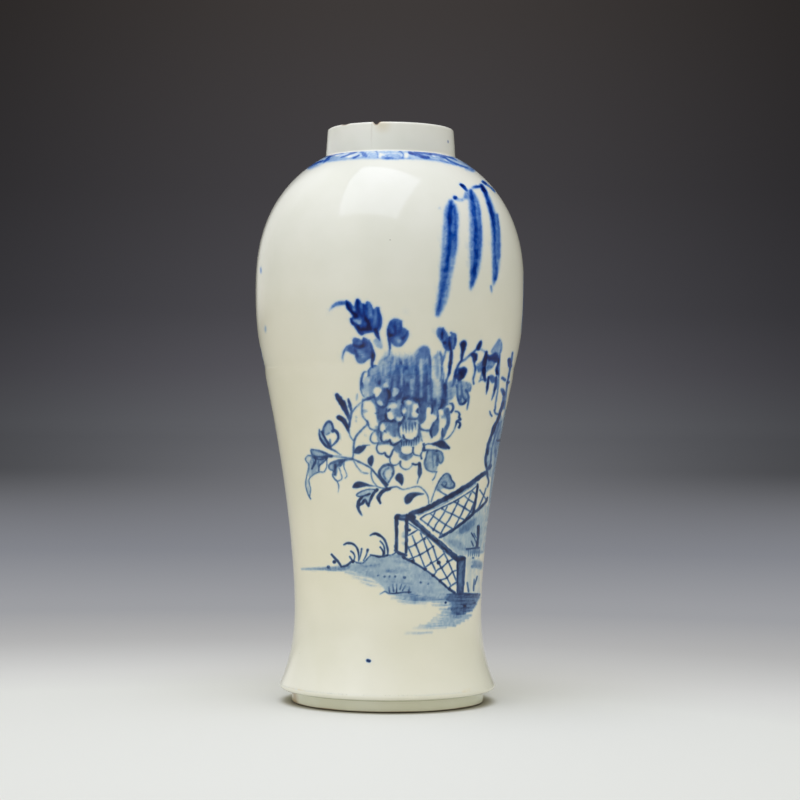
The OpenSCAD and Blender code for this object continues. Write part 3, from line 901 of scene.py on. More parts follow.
def lower_left_leaves():
    # stems
    each(line,
        ([0.62, 0.5], [1, 0.8], -18, 120.3, -20.5, 120.8, -24, 121.3, -28.5, 121.8),
        ([0.6, 0.72, 0.6], [0.8, 1.3, 0.9], -18, 120.3, -17.7, 124, -17.4, 128.5, -16.5, 131.5, -15, 133.5,
         -13, 135.6, -11.3, 137.3, -10.7, 139.2),
        (0.55, 0.7, -17.3, 129, -18.8, 130.8, -19.8, 133, -20, 136, -19.8, 140, -19.2, 143.5),
        ([0.6, 0.75, 0.65], 1, -18, 120.3, -15.5, 119.2, -12, 117.5, -9, 115.8, -6.8, 113.3, -4.5, 110.5,
         -2.5, 108, -1, 106),
        (0.5, 0.8, -18, 120.3, -16.8, 118, -15.3, 115.8, -13.3, 113.7, -10.5, 113.2),
        (0.55, 0.8, -8.5, 115.5, -8.8, 113, -8.2, 110.2, -6.8, 107.8, -5, 106.3, -2, 105.7))
    # the drooping leaf with the long tail
    wash(0.3, -28.5, 121.8, -31, 123, -35, 124.4, -38.6, 124.8, -38.6, 122, -36, 121, -31, 121, rim=0.25)
    wash(0.3, -38, 121.5, -31, 121.5, -31.5, 119, -34.3, 117.2, -35, 114.5, -37, 112.8, -39.5, 110.8,
         -40.3, 114, -39.8, 118, rim=0.1, streak=0.14, lean=-0.2)
    hairs(7, 0.62, 0.65, ((-38.6, 121.6), (-39, 117), (-39.6, 112.6)),
          ((-32, 121), (-32.4, 119), (-33.4, 117.4)))
    each(wash,
        (0.2, -40, 110.5, -39.2, 108, -39, 104.5, -39.4, 101, -40.8, 104, -41.3, 108),
        (0.12, -38.6, 121.5, -40.6, 121.8, -41.6, 120, -40.4, 118.2, -38.8, 119))
    each(line,
        ([0.7, 0.9], [0.8, 1.5], -39, 124.4, -38.4, 122.6, -36.5, 121.5, -32.5, 121.3, -28.8, 121.7),
        (0.8, [1.5, 0.7], -28.6, 121.7, -31, 122.8, -35, 124.4, -38.8, 125),
        (0.62, 0.7, -38.8, 121.8, -40.6, 121.8, -41.7, 120.2, -41, 118.7, -40.2, 118, -40.2, 115.5,
         -41, 111.5, -41.5, 108, -41, 104.8, -40, 102, -39, 100.4),
        (0.6, 0.7, -31, 120.6, -31, 118, -31.3, 115.7, -32.5, 113.8, -34.8, 113.8, -37.6, 112.4,
         -39.6, 110.4, -39.7, 108, -39, 105.2, -39.4, 101.6))
    lift(0.9, -31.5, 119.4, -31.5, 116, -32.8, 114.4, -34.5, 114.6, -34.3, 116.8)
    each(line,
        (0.75, 1, -30.8, 120.6, -32.6, 118.7, -34.6, 117, -35, 114.4),
        (0.78, 1.2, -37.5, 121.5, -36.5, 119.5, -37.6, 117, -38.4, 115.4),
        (0.7, 1.3, -31.5, 120.6, -34, 120, -36, 120.4, -38, 121.2),
        (0.6, 0.8, -35, 120, -35.3, 117, -35, 114.6))
    # the small drooping leaf
    wash(0.28, -22, 120, -26, 119.6, -29.4, 117.8, -29.6, 115.8, -27.8, 114.4, -27.2, 112, -26, 112,
         -25.3, 116.2, -23.3, 117, rim=0.15, streak=0.12)
    hairs(6, 0.6, 0.6, ((-28.8, 118.4), (-28.2, 116.6), (-27.6, 114)),
          ((-22.6, 119.4), (-23, 118), (-24, 116.6)))
    each(line,
        ([0.7, 0.6], [1.6, 0.8], -18.5, 120.4, -21, 120, -23.5, 119.6, -26.5, 119.2, -29, 118, -30, 116.6,
         -29.4, 115.2, -27.8, 114.5),
        (0.78, 1.7, -26.8, 117.3, -26.8, 114.8, -27, 112.6),
        (0.72, 1.6, -22.3, 119.5, -23.8, 118.6, -24.6, 117),
        (0.6, 1, -24.8, 118.5, -26, 116.3),
        ([0.7, 0.65, 0.5], [0.9, 0.8, 0.5], -27.7, 114, -28, 112, -27, 110.3, -25.7, 109, -25, 107,
         -25, 105, -25.3, 103.6),
        (0.6, 0.7, -25.4, 109.2, -24, 109.8, -23.3, 111, -24, 113.4, -24.8, 115.8),
        (0.5, 0.65, -22.3, 118.5, -22.4, 116.3, -21.5, 114, -21, 111.8, -21.8, 110.7))
    # the bud at the upper left
    wash(0.28, -32.8, 133.4, -32.4, 136.5, -30.6, 138.8, -28.8, 138.2, -27.8, 135.6, -29.2, 133.2,
         -31, 132.2, rim=0.15)
    wash(0.36, -34.6, 134, -33.3, 133.4, -31.5, 130.3, -29.6, 126.8, -31.5, 127.2, -33.8, 130)
    each(line,
        ([0.7, 0.9, 0.8, 0.5], [0.8, 1.3, 1.4, 0.9], -34.8, 134.8, -34.8, 132.2, -33.8, 129.5, -31.8, 127,
         -29.3, 125.5, -26.5, 124, -24, 122.3),
        (0.82, 1.2, -33, 133.2, -32.8, 135.5, -31.8, 137.5, -30.3, 139, -28.8, 138.3, -27.8, 135.3),
        ([0.95, 0.8], [1.8, 0.9], -28.2, 134.2, -27, 134.6, -25.5, 132.7, -25.4, 130.5, -26.7, 128.5,
         -29, 126.4),
        (0.88, [0.9, 1.5], -33.8, 134, -32.7, 132, -31.4, 129.8, -29.3, 126.2),
        (0.6, 1, -29.6, 130, -29, 127.4),
        (0.55, 0.8, -31.3, 132.4, -29.7, 133.3))
    # dark leaves on the stems
    wash(0.88, -17.5, 123.4, -17, 125.2, -15.3, 126.8, -12.5, 127, -11.3, 126.6, -13, 124.2, -15, 123,
         soft=0.6)
    line([0.85, 0.6], [0.9, 0.5], -13, 127, -9.6, 127.4)
    each(wash,
        (0.9, -8.7, 116.6, -10.4, 118.3, -10.5, 120.4, -9.3, 121.8, -8, 122.2, -7.5, 120, -8, 118),
        (0.9, -18, 106, -17.6, 107.6, -16, 109, -13.8, 109, -10.5, 108, -10.5, 107, -13.5, 106.2,
         -16, 105.8), soft=0.6)
    line([0.85, 0.6], [1.1, 0.6], -11, 107.5, -8.5, 107, -6, 106.7)
    # the round leaf
    wash(0.28, -0.6, 107.5, -3.5, 110.5, -4.6, 113.5, -3, 116.5, 0, 117.6, 2, 116, 2.3, 113.2, 0.8, 110)
    lift(0.5, -0.6, 110, -1.7, 112, -1.4, 114.2, 0.4, 115, 1.6, 113.8, 1, 111.2)
    each(line,
        ([0.8, 0.65], [1.7, 1.1], -0.7, 107.6, -2.6, 109.2, -4.2, 111.6, -4.7, 113.8, -3.4, 116.2,
         -1, 117.5, 1.2, 117.3, 2.3, 115.3, 2.2, 113, 1, 110.6, -0.2, 108.6),
        (0.55, 1.1, -1.6, 110.6, -2.7, 112.6, -2, 114.8, -0.2, 115.8))
    # the jagged leaf
    wash(0.26, -5.8, 104.8, -10, 105.2, -15, 103.4, -15.8, 102.2, -12.5, 102, -14.4, 100, -14, 98.3,
         -11.5, 99.6, -10.4, 97.6, -9.2, 99.8, -8, 102.8)
    each(line,
        ([0.8, 0.7, 0.95], [0.8, 0.8, 1.3], -5.8, 105, -10, 105.2, -13.8, 104, -16, 102.4, -14.6, 101.6,
         -12, 102, -9.5, 103),
        ([0.97, 0.97, 0.8, 0.45], [1.2, 2, 1.6, 0.9], -13, 101.6, -14.7, 99.8, -15.2, 97.5, -15, 95.2,
         -14, 93.2, -13.3, 92.3),
        (0.97, [1.6, 1.3], -14.6, 97.4, -13, 98.3, -11.7, 100, -10.8, 98.3, -10, 97),
        ([0.97, 0.95], [1.2, 1.9], -10, 97.2, -9, 100.3, -7.6, 103, -5.8, 105),
        (0.92, [1.7, 2.2, 2.1, 1.4], 0.6, 105.6, -1.6, 105, -3.7, 103.5, -5, 101.6, -4.8, 99.8, -4.2, 98.5))
    # specks
    each(line,
        (0.35, 0.8, -16.7, 141.5, -16.3, 141),
        (0.35, 0.8, -16.6, 139.5, -16.3, 139),
        (0.35, 0.8, -12, 132.5, -11.7, 132))


def ground():
    # the left bank
    line([0.25, 0.4, 0.5, 0.4, 0.35], [1, 1.5, 1.6, 3, 2.6], -43.2, 65.2, -38, 65.3, -32, 65.4, -25, 65.6,
         -20, 66.2, soft=0.8)
    wash(0.3, -26, 66.8, -20, 67.6, -13, 69.2, -8, 71.8, 0, 72, 4.4, 73, 8.6, 71.6, 13, 68.6, 18, 65.4,
         22.5, 62.2, 26.4, 59.2, 30, 56, 33.6, 53.4, 31, 49.8, 24, 49.6, 16, 49, 10, 50, 4, 52, -0.6, 54,
         -2.6, 56.6, -5.6, 58.8, -8, 60.6, -14, 62.8, -20, 64.4, -26, 64.8, soft=1.6, streak=0.09, lean=1.5)
    for ink, width, *points in (
            (0.38, 1.8, -16, 66.2, -9, 67, -1, 68.4),
            (0.42, 2, -7, 64, 0, 64.4, 7, 63.6),
            (0.38, 2, 1, 60.4, 6, 59.4, 12, 58),
            (0.36, 1.4, -21, 63.8, -14, 62.2, -7, 61),
            (0.32, 1, -18, 61.6, -12, 60, -5, 58.4),
            (0.3, 0.9, -14, 59.2, -9, 57.4, -4, 56.6),
            (0.5, 2.6, 8.4, 53, 13, 52, 19, 51.4),
            (0.58, 1.8, 9, 50.6, 15, 50.2, 23, 50.8),
            (0.4, 1, 2, 51.4, 8, 50.4, 14, 49),
            (0.36, 0.9, 5, 49.4, 12, 48.6, 19, 48.4),
            (0.5, 1.2, 21, 50, 26, 50.4, 31, 51)):
        line([ink * 0.5, ink, ink * 0.55], width, *points, soft=1.3, hairs=0.08)
    dot(0.85, 1.6, -29.8, 66.3)
    line([0.95, 0.9], [1.3, 1.5], -28.3, 72.5, -26.8, 70.8, -25, 69, -23.5, 66.6)
    dot(0.95, 1.9, -27, 69)
    each(line,
        (0.85, [1, 1.2], -23.6, 66.6, -21, 67, -18.5, 69),
        ([0.8, 0.95, 0.9, 0.7], [0.9, 1.2, 1.1, 0.7], -22.2, 77.5, -20.5, 78.3, -18.5, 78.2, -16.5, 77,
         -15.3, 75, -14.8, 72.5, -14.8, 69.4),
        (0.8, 0.9, -18.7, 74.3, -17.5, 73.4, -16.8, 71.8, -17, 70.2),
        (0.88, 1.1, -19.2, 71.5, -18, 69.7))
    dot(0.95, 2.1, -17.5, 69.3)
    each(line,
        (0.66, 0.8, -16.8, 69, -14.8, 68.4, -13, 68.3, -11.5, 69.3, -10, 71, -8.5, 72.2),
        ([0.85, 0.6], [1.2, 0.6], -13.3, 75.4, -13.8, 72.4, -14.5, 70),
        ([0.85, 0.6], [1.3, 0.6], -10.3, 75, -11, 72.4, -12.4, 69.6),
        (0.9, 1.2, -8.8, 72.4, -6.5, 72, -4.5, 71.6, -2.6, 71.8, -0.4, 72.4),
        ([0.85, 0.97, 0.95, 0.8, 0.75], [1, 1.4, 1.3, 1.1, 1.1], -9, 82.2, -7.5, 83, -6, 83, -4, 82,
         -2.3, 80.5, -1, 78, -0.3, 75, -0.3, 72.4),
        (0.8, 0.9, -4, 79.3, -2.8, 78, -2, 76, -1.8, 73),
        (0.88, 1, -4, 76.4, -3, 75, -2.4, 73.5, -2.7, 72),
        ([0.6, 0.8], [0.8, 1], -0.2, 72.6, 1.6, 72.4, 3.6, 73.6))
    for x, z, w in ((-5, 62.2, 1.1), (-1.8, 61.7, 1.1), (0.8, 61.8, 1.1), (3.5, 61.8, 1.1),
            (8.2, 61.3, 1.5), (16.3, 58.8, 1.1), (20, 58.2, 0.9)):
        dot(0.72, w, x, z)
    # the tuft
    line([0.4, 0.8, 0.75], [0.7, 1, 0.8], -4, 53, -1.5, 54.2, 0.5, 53.3, 5, 53.5, 8, 54, 11.4, 54)
    for a, b, w in (((0.3, 56.6), (0.8, 54), 0.9), ((2.3, 57.9), (2.8, 54.4), 1),
            ((4.3, 58.1), (4.3, 54), 1), ((6.8, 57.9), (6, 55.4), 0.9), ((8.5, 57.1), (7.3, 54.8), 0.9),
            ((10.7, 56.4), (10.3, 54), 1.6)):
        line([0.6, 0.78], [w * 0.7, w], a, b)
    # the reflections at the right, in level streaks that thin out to the lower left
    line([0.6, 0.85, 0.8], [1.2, 1.7, 1.4], 29.6, 52.8, 36, 53.2, 45.6, 53)
    wash(0.56, 29.6, 52, 37, 53, 45.6, 52.6, 44.4, 49, 43, 46, 40, 44, 36, 43, 32.6, 43.6, 31, 46,
         31.6, 48.4, 29, 50, soft=1.3, streak=0.14, lean=1.52)
    for x0, x1, z, ink, width in ((28.6, 45, 51.6, 0.8, 1.3), (30.2, 43.4, 49.9, 0.82, 1.2),
            (31, 43.8, 48.1, 0.8, 1.3), (30.4, 42.4, 46.3, 0.8, 1.3), (33, 42, 44.8, 0.7, 1.1),
            (31, 38.4, 43.3, 0.78, 1.3), (31, 37, 41.6, 0.55, 1), (22, 31, 49, 0.36, 0.9),
            (22.4, 32, 47.6, 0.42, 1), (26, 34, 45.6, 0.4, 1.2), (27, 36, 44, 0.42, 1.3),
            (25, 41.4, 42.4, 0.4, 1.3), (23, 40, 41, 0.36, 1.3), (22, 38, 39.7, 0.34, 1.4),
            (20, 36, 38.5, 0.32, 1.3), (16, 33.6, 37.3, 0.4, 1.1), (13, 29, 36.2, 0.24, 0.9),
            (9, 22, 33.8, 0.26, 0.9), (12, 18, 33.2, 0.2, 0.7)):
        line([ink * 0.5, ink, ink * 0.8], width, x0, z, (x0 + x1) / 2, z - 0.1, x1, z + 0.15, soft=0.9,
             hairs=0.06)
    dot(1, 1.8, 38.4, 47.2)
    dot(0.9, 1.2, 28.8, 48.9)
    dot(0.9, 1.4, 43.2, 49)


def leaf(ink, width, x, z, tip_x, tip_z):
    # an almond leaf from its stalk to its tip
    foot, along = np.array((x, z), float), np.array((tip_x - x, tip_z - z), float)
    side = along[::-1] * (-0.5, 0.5) * width / math.hypot(*along)
    wash(ink, foot, foot + 0.35 * along + side, foot + 0.7 * along + 0.8 * side, foot + along,
         foot + 0.7 * along - 0.8 * side, foot + 0.35 * along - side, rim=0.12, soft=0.6)


def blossom(x, z, size):
    # five round petals about a dotted middle
    for i in range(5):
        lean = 1.3 + i * 1.2566
        out = np.array((math.cos(lean), math.sin(lean))) * size
        side = np.array((-math.sin(lean), math.cos(lean))) * size
        heart = np.array((x, z), float)
        wash(0.24, heart + 0.2 * out, heart + 0.6 * out + 0.42 * side, heart + out + 0.36 * side,
             heart + 1.12 * out, heart + out - 0.36 * side, heart + 0.6 * out - 0.42 * side, rim=0.55)
        line([0.8, 0.3], 0.9, heart + 0.15 * out, heart + 0.6 * out)
        dot(0.9, 1.4, *(heart + 0.42 * out + 0.2 * side))
    dot(0.9, 2.4, x, z)


# The front, from what lies furthest back to what lies nearest
neck_border()
place(load=0.9)
fronds()
place()

wash(0.3, 55.6, 143, 57, 139, 56, 132, 55.2, 126, 54.6, 119, 51.6, 112, 49.6, 113, 48.8, 119, 49.6, 125,
     51, 131, 53.4, 137.6, streak=0.2, soft=0.8)
each(line,
    ([0.9, 0.95, 0.85, 0.9, 0.8], [1.3, 1.8, 1.5, 1.3, 1.3], 55.4, 143.4, 54.4, 140.4, 53, 137.6, 52, 134.6,
     51, 131.8, 50, 129, 49.4, 126.6, 49.2, 124, 48.5, 121.4, 48.4, 118.6, 49, 115.6, 49.3, 112.4),
    (0.62, 0.9, 55, 139, 54.2, 136, 53, 132, 52.3, 129, 51.5, 126, 51.2, 123, 51, 120, 50.4, 117.4,
     49.5, 115),
    (0.45, 1.2, 56, 139.4, 55.4, 136.4, 54.5, 133, 54, 130, 53.4, 126.6, 53.2, 122),
    (0.8, 1.1, 54, 130, 55.2, 130),
    (0.8, 1.6, 51, 117.6, 50, 116),
    ([0.8, 0.7], [1.2, 0.9], 49.3, 112.4, 50, 109.4, 49.4, 107))

place(press=0.8)

# the body of the flower, thin colour drawn upwards in hairs
wash(0.4, -6.5, 165, -5, 169.5, -2, 171.5, 2, 172.2, 6, 171, 10, 171.2, 12.8, 174, 15, 176.3, 18, 177.3,
     20, 175.6, 20.8, 171.2, 23, 172.6, 25.6, 174, 27.2, 171, 26.4, 166, 29, 161, 29.6, 152, 30, 146,
     28, 140, 25, 134, 21.5, 132, 15.6, 130, 10, 127.6, 5, 126, -2, 128.8, -4.6, 133, -5.4, 137, -7.4, 142,
     -8.6, 148, -10.2, 152, -10.4, 158, -8.2, 163, soft=1.3, streak=0.18, lean=-0.06)
wash(0.6, -7, 152, -5, 156, 2, 157, 12, 160, 20, 160, 27, 157, 29.4, 150, 28, 145.5, 21, 146.5, 15, 147.5,
     6, 150, -2, 146.5, -6.4, 149, soft=4.5, streak=0.22, lean=-0.06)
wash(0.62, 14.8, 148, 18.4, 147.5, 18.8, 141, 16.2, 137, 14.4, 140, 15, 144, soft=1.2)
hairs(12, 0.58, 0.9, ((-8.6, 153), (-7.4, 160), (-5, 170)), ((0.6, 153), (1, 162), (1, 174)))
hairs(4, 0.6, 1.2, ((-4.6, 161), (-4.4, 166), (-3.4, 171.4)), ((2.4, 166), (2.4, 169), (1.6, 172)),
      lighten=True)
hairs(9, 0.6, 0.9, ((1, 163), (1, 168), (1, 173)), ((12.4, 163), (12.4, 168), (12, 173)))
hairs(7, 0.55, 0.9, ((1.6, 167.6), (1.6, 170), (1.4, 173)), ((12, 168.6), (12, 170), (11.6, 172.4)),
      lighten=True)
wash(0.6, 0.2, 151, 0.8, 160, 2.8, 165.4, 6, 167.2, 9.4, 166.2, 11.4, 162, 12, 151, soft=0.9, streak=0.2,
     lean=-0.04)
hairs(9, 0.76, 0.8, ((0.8, 152), (1.4, 160), (3.4, 167)), ((11.8, 152), (11.4, 160), (9.8, 167.4)))
each(line,
    ([0.6, 0.82, 0.6], [0.8, 1.6, 0.8], 5.6, 171, 5.8, 168.6, 6.2, 166.4),
    ([0.6, 0.8, 0.6], [0.8, 1.6, 0.8], 8.4, 170.4, 8.6, 168, 9.2, 166), soft=0.8)
wash(0.5, 12.4, 150, 12.8, 160, 13.2, 170, 15, 175.6, 18, 176.8, 20, 174.8, 20.8, 168, 21.6, 160, 20.6, 150,
     soft=0.9, streak=0.2, lean=-0.05)
hairs(4, 0.5, 1.3, ((14.8, 163), (15, 168), (15.4, 175)), ((19.2, 164), (19, 169), (18.6, 176)),
      lighten=True)
hairs(8, 0.72, 0.8, ((13, 151), (13.2, 161), (14, 171)), ((21.4, 151), (20.8, 160), (19.8, 171)))
each(line,
    ([0.5, 0.84, 0.6], [0.8, 1.4, 0.8], 13.2, 158, 13.2, 165, 13.6, 172),
    ([0.5, 0.76, 0.82, 0.5], [0.8, 1.2, 1.3, 0.8], 21.4, 157, 20.8, 165, 20.3, 171, 19.4, 176), soft=0.8)
hairs(8, 0.6, 0.9, ((21.8, 149), (22, 160), (21.8, 172)), ((29.4, 149), (28, 160), (26.4, 175)))
hairs(6, 0.4, 1, ((22.2, 150), (22.4, 160), (22, 171)), ((26, 152), (26, 161), (25, 174)), lighten=True)
line([0.7, 0.8, 0.6], [1, 1.8, 1], 25.4, 174, 25.8, 171.6, 25.7, 169, soft=0.8)
wash(0.66, 8.6, 150.8, 9.6, 153.6, 12.6, 155, 16.6, 153.2, 18.8, 150.8, 17, 148.6, 13, 149.8, soft=2.4,
     streak=0.1)
wash(0.5, 19.4, 151, 20, 154, 22.4, 153.6, 24.6, 151.6, 23.4, 148.6, 20.6, 148.2, soft=2)
wash(0.78, 2.4, 152, 3, 155, 6, 156.4, 8, 153.6, 7, 150.6, 4, 150.4, soft=1.8)
each(line,
    (0.84, [1.4, 3, 2], 27.3, 159.4, 27.8, 156, 28.2, 152.6),
    (0.7, 2.2, 28.4, 153, 27.6, 149, 26.6, 146.4), soft=0.9)
each(line,
    ([0.84, 0.6], [2, 1], 26.8, 150, 26, 147, 25, 145.2),
    (0.7, 1.4, 21.4, 150.4, 21.3, 147.6))
wash(0.2, -4, 168.6, -3.4, 172, -0.8, 174.4, 2, 172.8, 7, 172, 12.8, 172.8, 13, 170, 4, 168.6, soft=1.6,
     streak=0.1)
hairs(11, 0.42, 0.8, ((-3, 166), (-3, 170), (-3.2, 174.8)), ((12.8, 166), (12.6, 170), (12.4, 175.2)))
hairs(7, 0.7, 0.8, ((-2, 169.6), (-2, 172), (-2, 175)), ((12.6, 170), (12.6, 172), (12.2, 175.4)),
      lighten=True)
for x, low, high in ((24.4, 158, 174.6), (22.2, 161, 173), (26.2, 160, 171)):
    line([0.3, 0.6, 0.4], [0.6, 0.9, 0.6], x - 0.6, low, x, (low + high) / 2, x - 0.4, high, soft=0.8)
# left outer petals
wash(0.3, -10.4, 164.4, -8.4, 166.6, -6, 167, -4.6, 164.6, -5, 160, -8, 159, -10.4, 160.6, soft=0.9)
each(line,
    ([0.6, 0.78, 0.7, 0.5], [0.8, 1.6, 1.2, 0.8], -11.4, 164, -12.8, 163.6, -13.8, 161, -14.2, 158,
     -14.2, 155, -13.4, 152.6, -12.4, 151.4),
    ([0.5, 0.7, 0.5], 1, -10.8, 161.6, -10.2, 164.6, -8.6, 166.6, -6.6, 167, -5.2, 165.6),
    (0.62, 1.5, -10.4, 164.5, -10.2, 162.2),
    (0.62, 1.4, -13.6, 158.4, -13.2, 155.8))
wash(0.25, -12.2, 151.8, -13.2, 155, -12.6, 160, -11, 161.4, -10, 158, -10.6, 153)
each(line,
    ([0.7, 0.85, 0.6], [1, 2.2, 1.6], -13.4, 149.2, -10.6, 150.6, -8, 151.6, -7.2, 154),
    (0.6, 1.2, -13.2, 150, -13.4, 147.4, -13.6, 144.6, -13.2, 142, -12, 140.2, -10.8, 139, -10.2, 137,
     -9.4, 135.6, -7.6, 135, -5, 134.8))
each(lift,
    (0.97, -12.2, 141, -12.8, 144, -12, 147, -10.4, 149, -8.4, 148.5, -7, 146.4, -6.6, 143.6, -7.6, 141,
     -9.4, 140.2, -11, 140.2),
    (0.97, -9.6, 136.4, -9.4, 138.6, -7.2, 139.4, -5.6, 138.2, -5.5, 136, -7.4, 135.4))
line(0.75, 1.6, -11, 139.2, -10.3, 137.4)
wash(0.62, -6.6, 150.4, -2.4, 146.6, -1.2, 144, -2, 140.6, -4.6, 139.4, -6.4, 140.6, -6.2, 145, soft=1,
     streak=0.12)
# white lobes of the upper rows
each(lift,
    (0.96, -8, 154.2, -7.2, 156, -5.6, 156.4, -4, 155.5, -4, 154, -5, 152.4, -6.3, 151.4, -7.4, 152.4),
    (0.75, -6.4, 147.8, -6, 149.6, -4, 149.6, -3, 148, -3.6, 147, -5.2, 147),
    (0.75, -3, 157.3, -2, 158.8, -0.8, 158.2, -0.6, 156.6, -1.6, 156, -2.8, 156.2),
    (0.72, 1.6, 155.6, 3.6, 156, 5, 155, 4.5, 153.4, 3.4, 152, 2, 151.6, 1.4, 153))
line([0.2, 0.45, 0.2], 0.9, 6.4, 154.6, 6.7, 152.8, 6.4, 151, lighten=True)
each(lift,
    (0.86, -0.4, 146.6, 1.2, 148, 3.4, 148, 4, 146.6, 2.6, 145.6, 0.8, 145.5),
    (0.96, -1, 142.6, 0, 144.4, 1.3, 143.6, 2.2, 141.8, 2.3, 140.4, 1, 139.8, -0.3, 140.8),
    (0.9, 3.6, 140.2, 4.2, 141.4, 5.4, 140.8, 6.6, 141.8, 6.7, 140.4, 5.4, 139.2, 4.2, 139.3),
    (0.96, 6.6, 144.8, 7.2, 146, 8.2, 146, 8.6, 144.4, 7.7, 143.2, 6.8, 143.6),
    (0.8, 8.4, 149, 9.6, 150, 11.2, 149.4, 11.3, 148, 9.8, 147.6, 8.8, 148),
    (0.9, 11.8, 147, 12.8, 148.2, 14.2, 148, 14.7, 146.2, 13.4, 145.2, 13.2, 144, 14.6, 143.2, 14.4, 141.8,
     12.8, 141.3, 11.4, 142.4, 11.6, 144.6))
# dark lines between them
each(line,
    ([0.9, 0.95, 0.8], [2.2, 2.6, 1.4], -1, 155.2, 0.2, 153.4, 0, 151.2, -0.8, 149.6),
    ([0.6, 0.88], [0.9, 1.2], 1.4, 160.6, 1.2, 157.8, 0.7, 155),
    (0.84, 1.6, -4.6, 159.6, -5.2, 157.8),
    (0.8, [0.9, 1.5, 0.9], -7.6, 152.6, -7.2, 150.6, -6.3, 148, -4.8, 146.6, -2.8, 146.4, -1.5, 147,
     -0.8, 148.8, 1.2, 149.3, 3.2, 149.4, 4.6, 150.4),
    ([0.86, 0.95, 0.9], [1, 1.9, 1.1], -1.2, 145.4, -1.7, 143, -1.7, 141.2, -0.4, 139.8, 1.2, 139.3,
     2.4, 140, 3.4, 139.2),
    (0.88, 1.3, 0.4, 145.3, -0.6, 144.4),
    ([0.85, 0.95], [1, 1.7], 7.4, 142, 7, 140.4, 6.2, 139, 5, 138.2),
    (0.86, 1.1, 6, 147.2, 6, 144.4, 6.7, 142.2),
    ([0.9, 0.7], [1.6, 1.1], 6.6, 148.6, 7.4, 151, 9.2, 150.7, 10.6, 150.2),
    ([0.8, 0.95, 0.75], [1.2, 2.3, 1.3], 10.8, 151.8, 13, 150, 14.8, 149, 15.4, 146.6),
    (0.9, 1.2, 14.4, 145.4, 14, 144.4, 14.6, 143.6),
    ([0.8, 0.6], [1.7, 1.2], 9.8, 140.6, 12, 140.4, 14.4, 141, 15, 142.4))
# the middle fans
wash(0.4, -2.4, 138.8, 3.6, 139, 5.2, 136, 4.4, 132, 2.2, 131.6, 0.6, 134.4, -1.6, 135, soft=0.9,
     streak=0.2)
each(lift,
    (0.94, -4.4, 135.8, -4, 137.6, -3, 138.2, -2, 137, -1.8, 135.2, -3, 134, -4.3, 134.4),
    (0.96, -3.2, 131, -2.8, 132.8, -1.4, 134, 0.3, 133.8, 1, 132.3, 2.4, 131.2, 4.2, 131.7, 5.6, 131.2,
     5.8, 130, 4, 129, 2.4, 128.2, 1.2, 128.8, 0.4, 130, -1, 130.2, -2.6, 129.8))
each(line,
    ([0.7, 0.85], [1, 1.3], -0.8, 139.2, -3, 139.2, -4.7, 138.3, -5, 136.6, -4.8, 134.6, -4, 133.6,
     -4, 131.6, -4, 130, -2.8, 129, -1, 129, 0.3, 129.5),
    ([0.9, 0.95, 0.8], [1.1, 1.5, 0.9], 0.4, 130, 1, 128.4, 2, 127.4, 3.6, 128, 5.2, 129, 6.3, 130))
wash(0.36, 5.2, 138.6, 14.2, 139, 14.4, 134, 13, 131.2, 8.2, 130.8, 5.4, 132.4, soft=0.9, streak=0.2)
lift(0.94, 5.3, 135.2, 5.5, 132.6, 6.6, 131.4, 7.4, 133, 8.2, 131, 9.4, 130.5, 12, 130.8, 13.6, 132.6,
     14.2, 135.4, 14, 137.8, 12.8, 135.6, 11.4, 134.4, 9.6, 134.2, 7.6, 134, 6.6, 135.6)
for x, top, foot in ((6.8, 137, 134.2), (8.4, 137.4, 133.9), (10, 137.4, 133.6), (11.6, 137, 133.9),
        (13, 137.8, 135)):
    line([0.5, 0.4, 0.1], [0.8, 0.7, 0.4], x - 0.3, top, x, (top + foot) / 2, x + 0.1, foot)
each(line,
    ([0.85, 0.7], [1.2, 0.9], 5.3, 139, 4.8, 136.6, 5, 133.6, 5.6, 131.2),
    ([0.9, 0.72, 0.6], [1.3, 0.9, 0.9], 7.2, 133, 7.6, 131, 8.8, 130, 11, 129.7, 13.2, 130.6, 14.6, 132.6,
     15, 135, 15.2, 137.4))
wash(0.52, 5.8, 130.2, 8.6, 129.6, 12, 129.8, 14.6, 132.4, 16.2, 133, 16.2, 130, 14.6, 128, 12.6, 127,
     10, 126.6, 7, 127, 5.8, 128.4, soft=0.7, streak=0.16)
for i in range(8):
    x, z = 6.4 + 1.25 * i, 129 + 0.06 * i * i
    line([0.9, 0.7], [0.9, 0.6], x, z, x - 0.3, z - 2.8)
    line([0.3, 0.7], [0.5, 0.8], x + 0.6, z - 0.4, x + 0.4, z - 3.2, lighten=True)
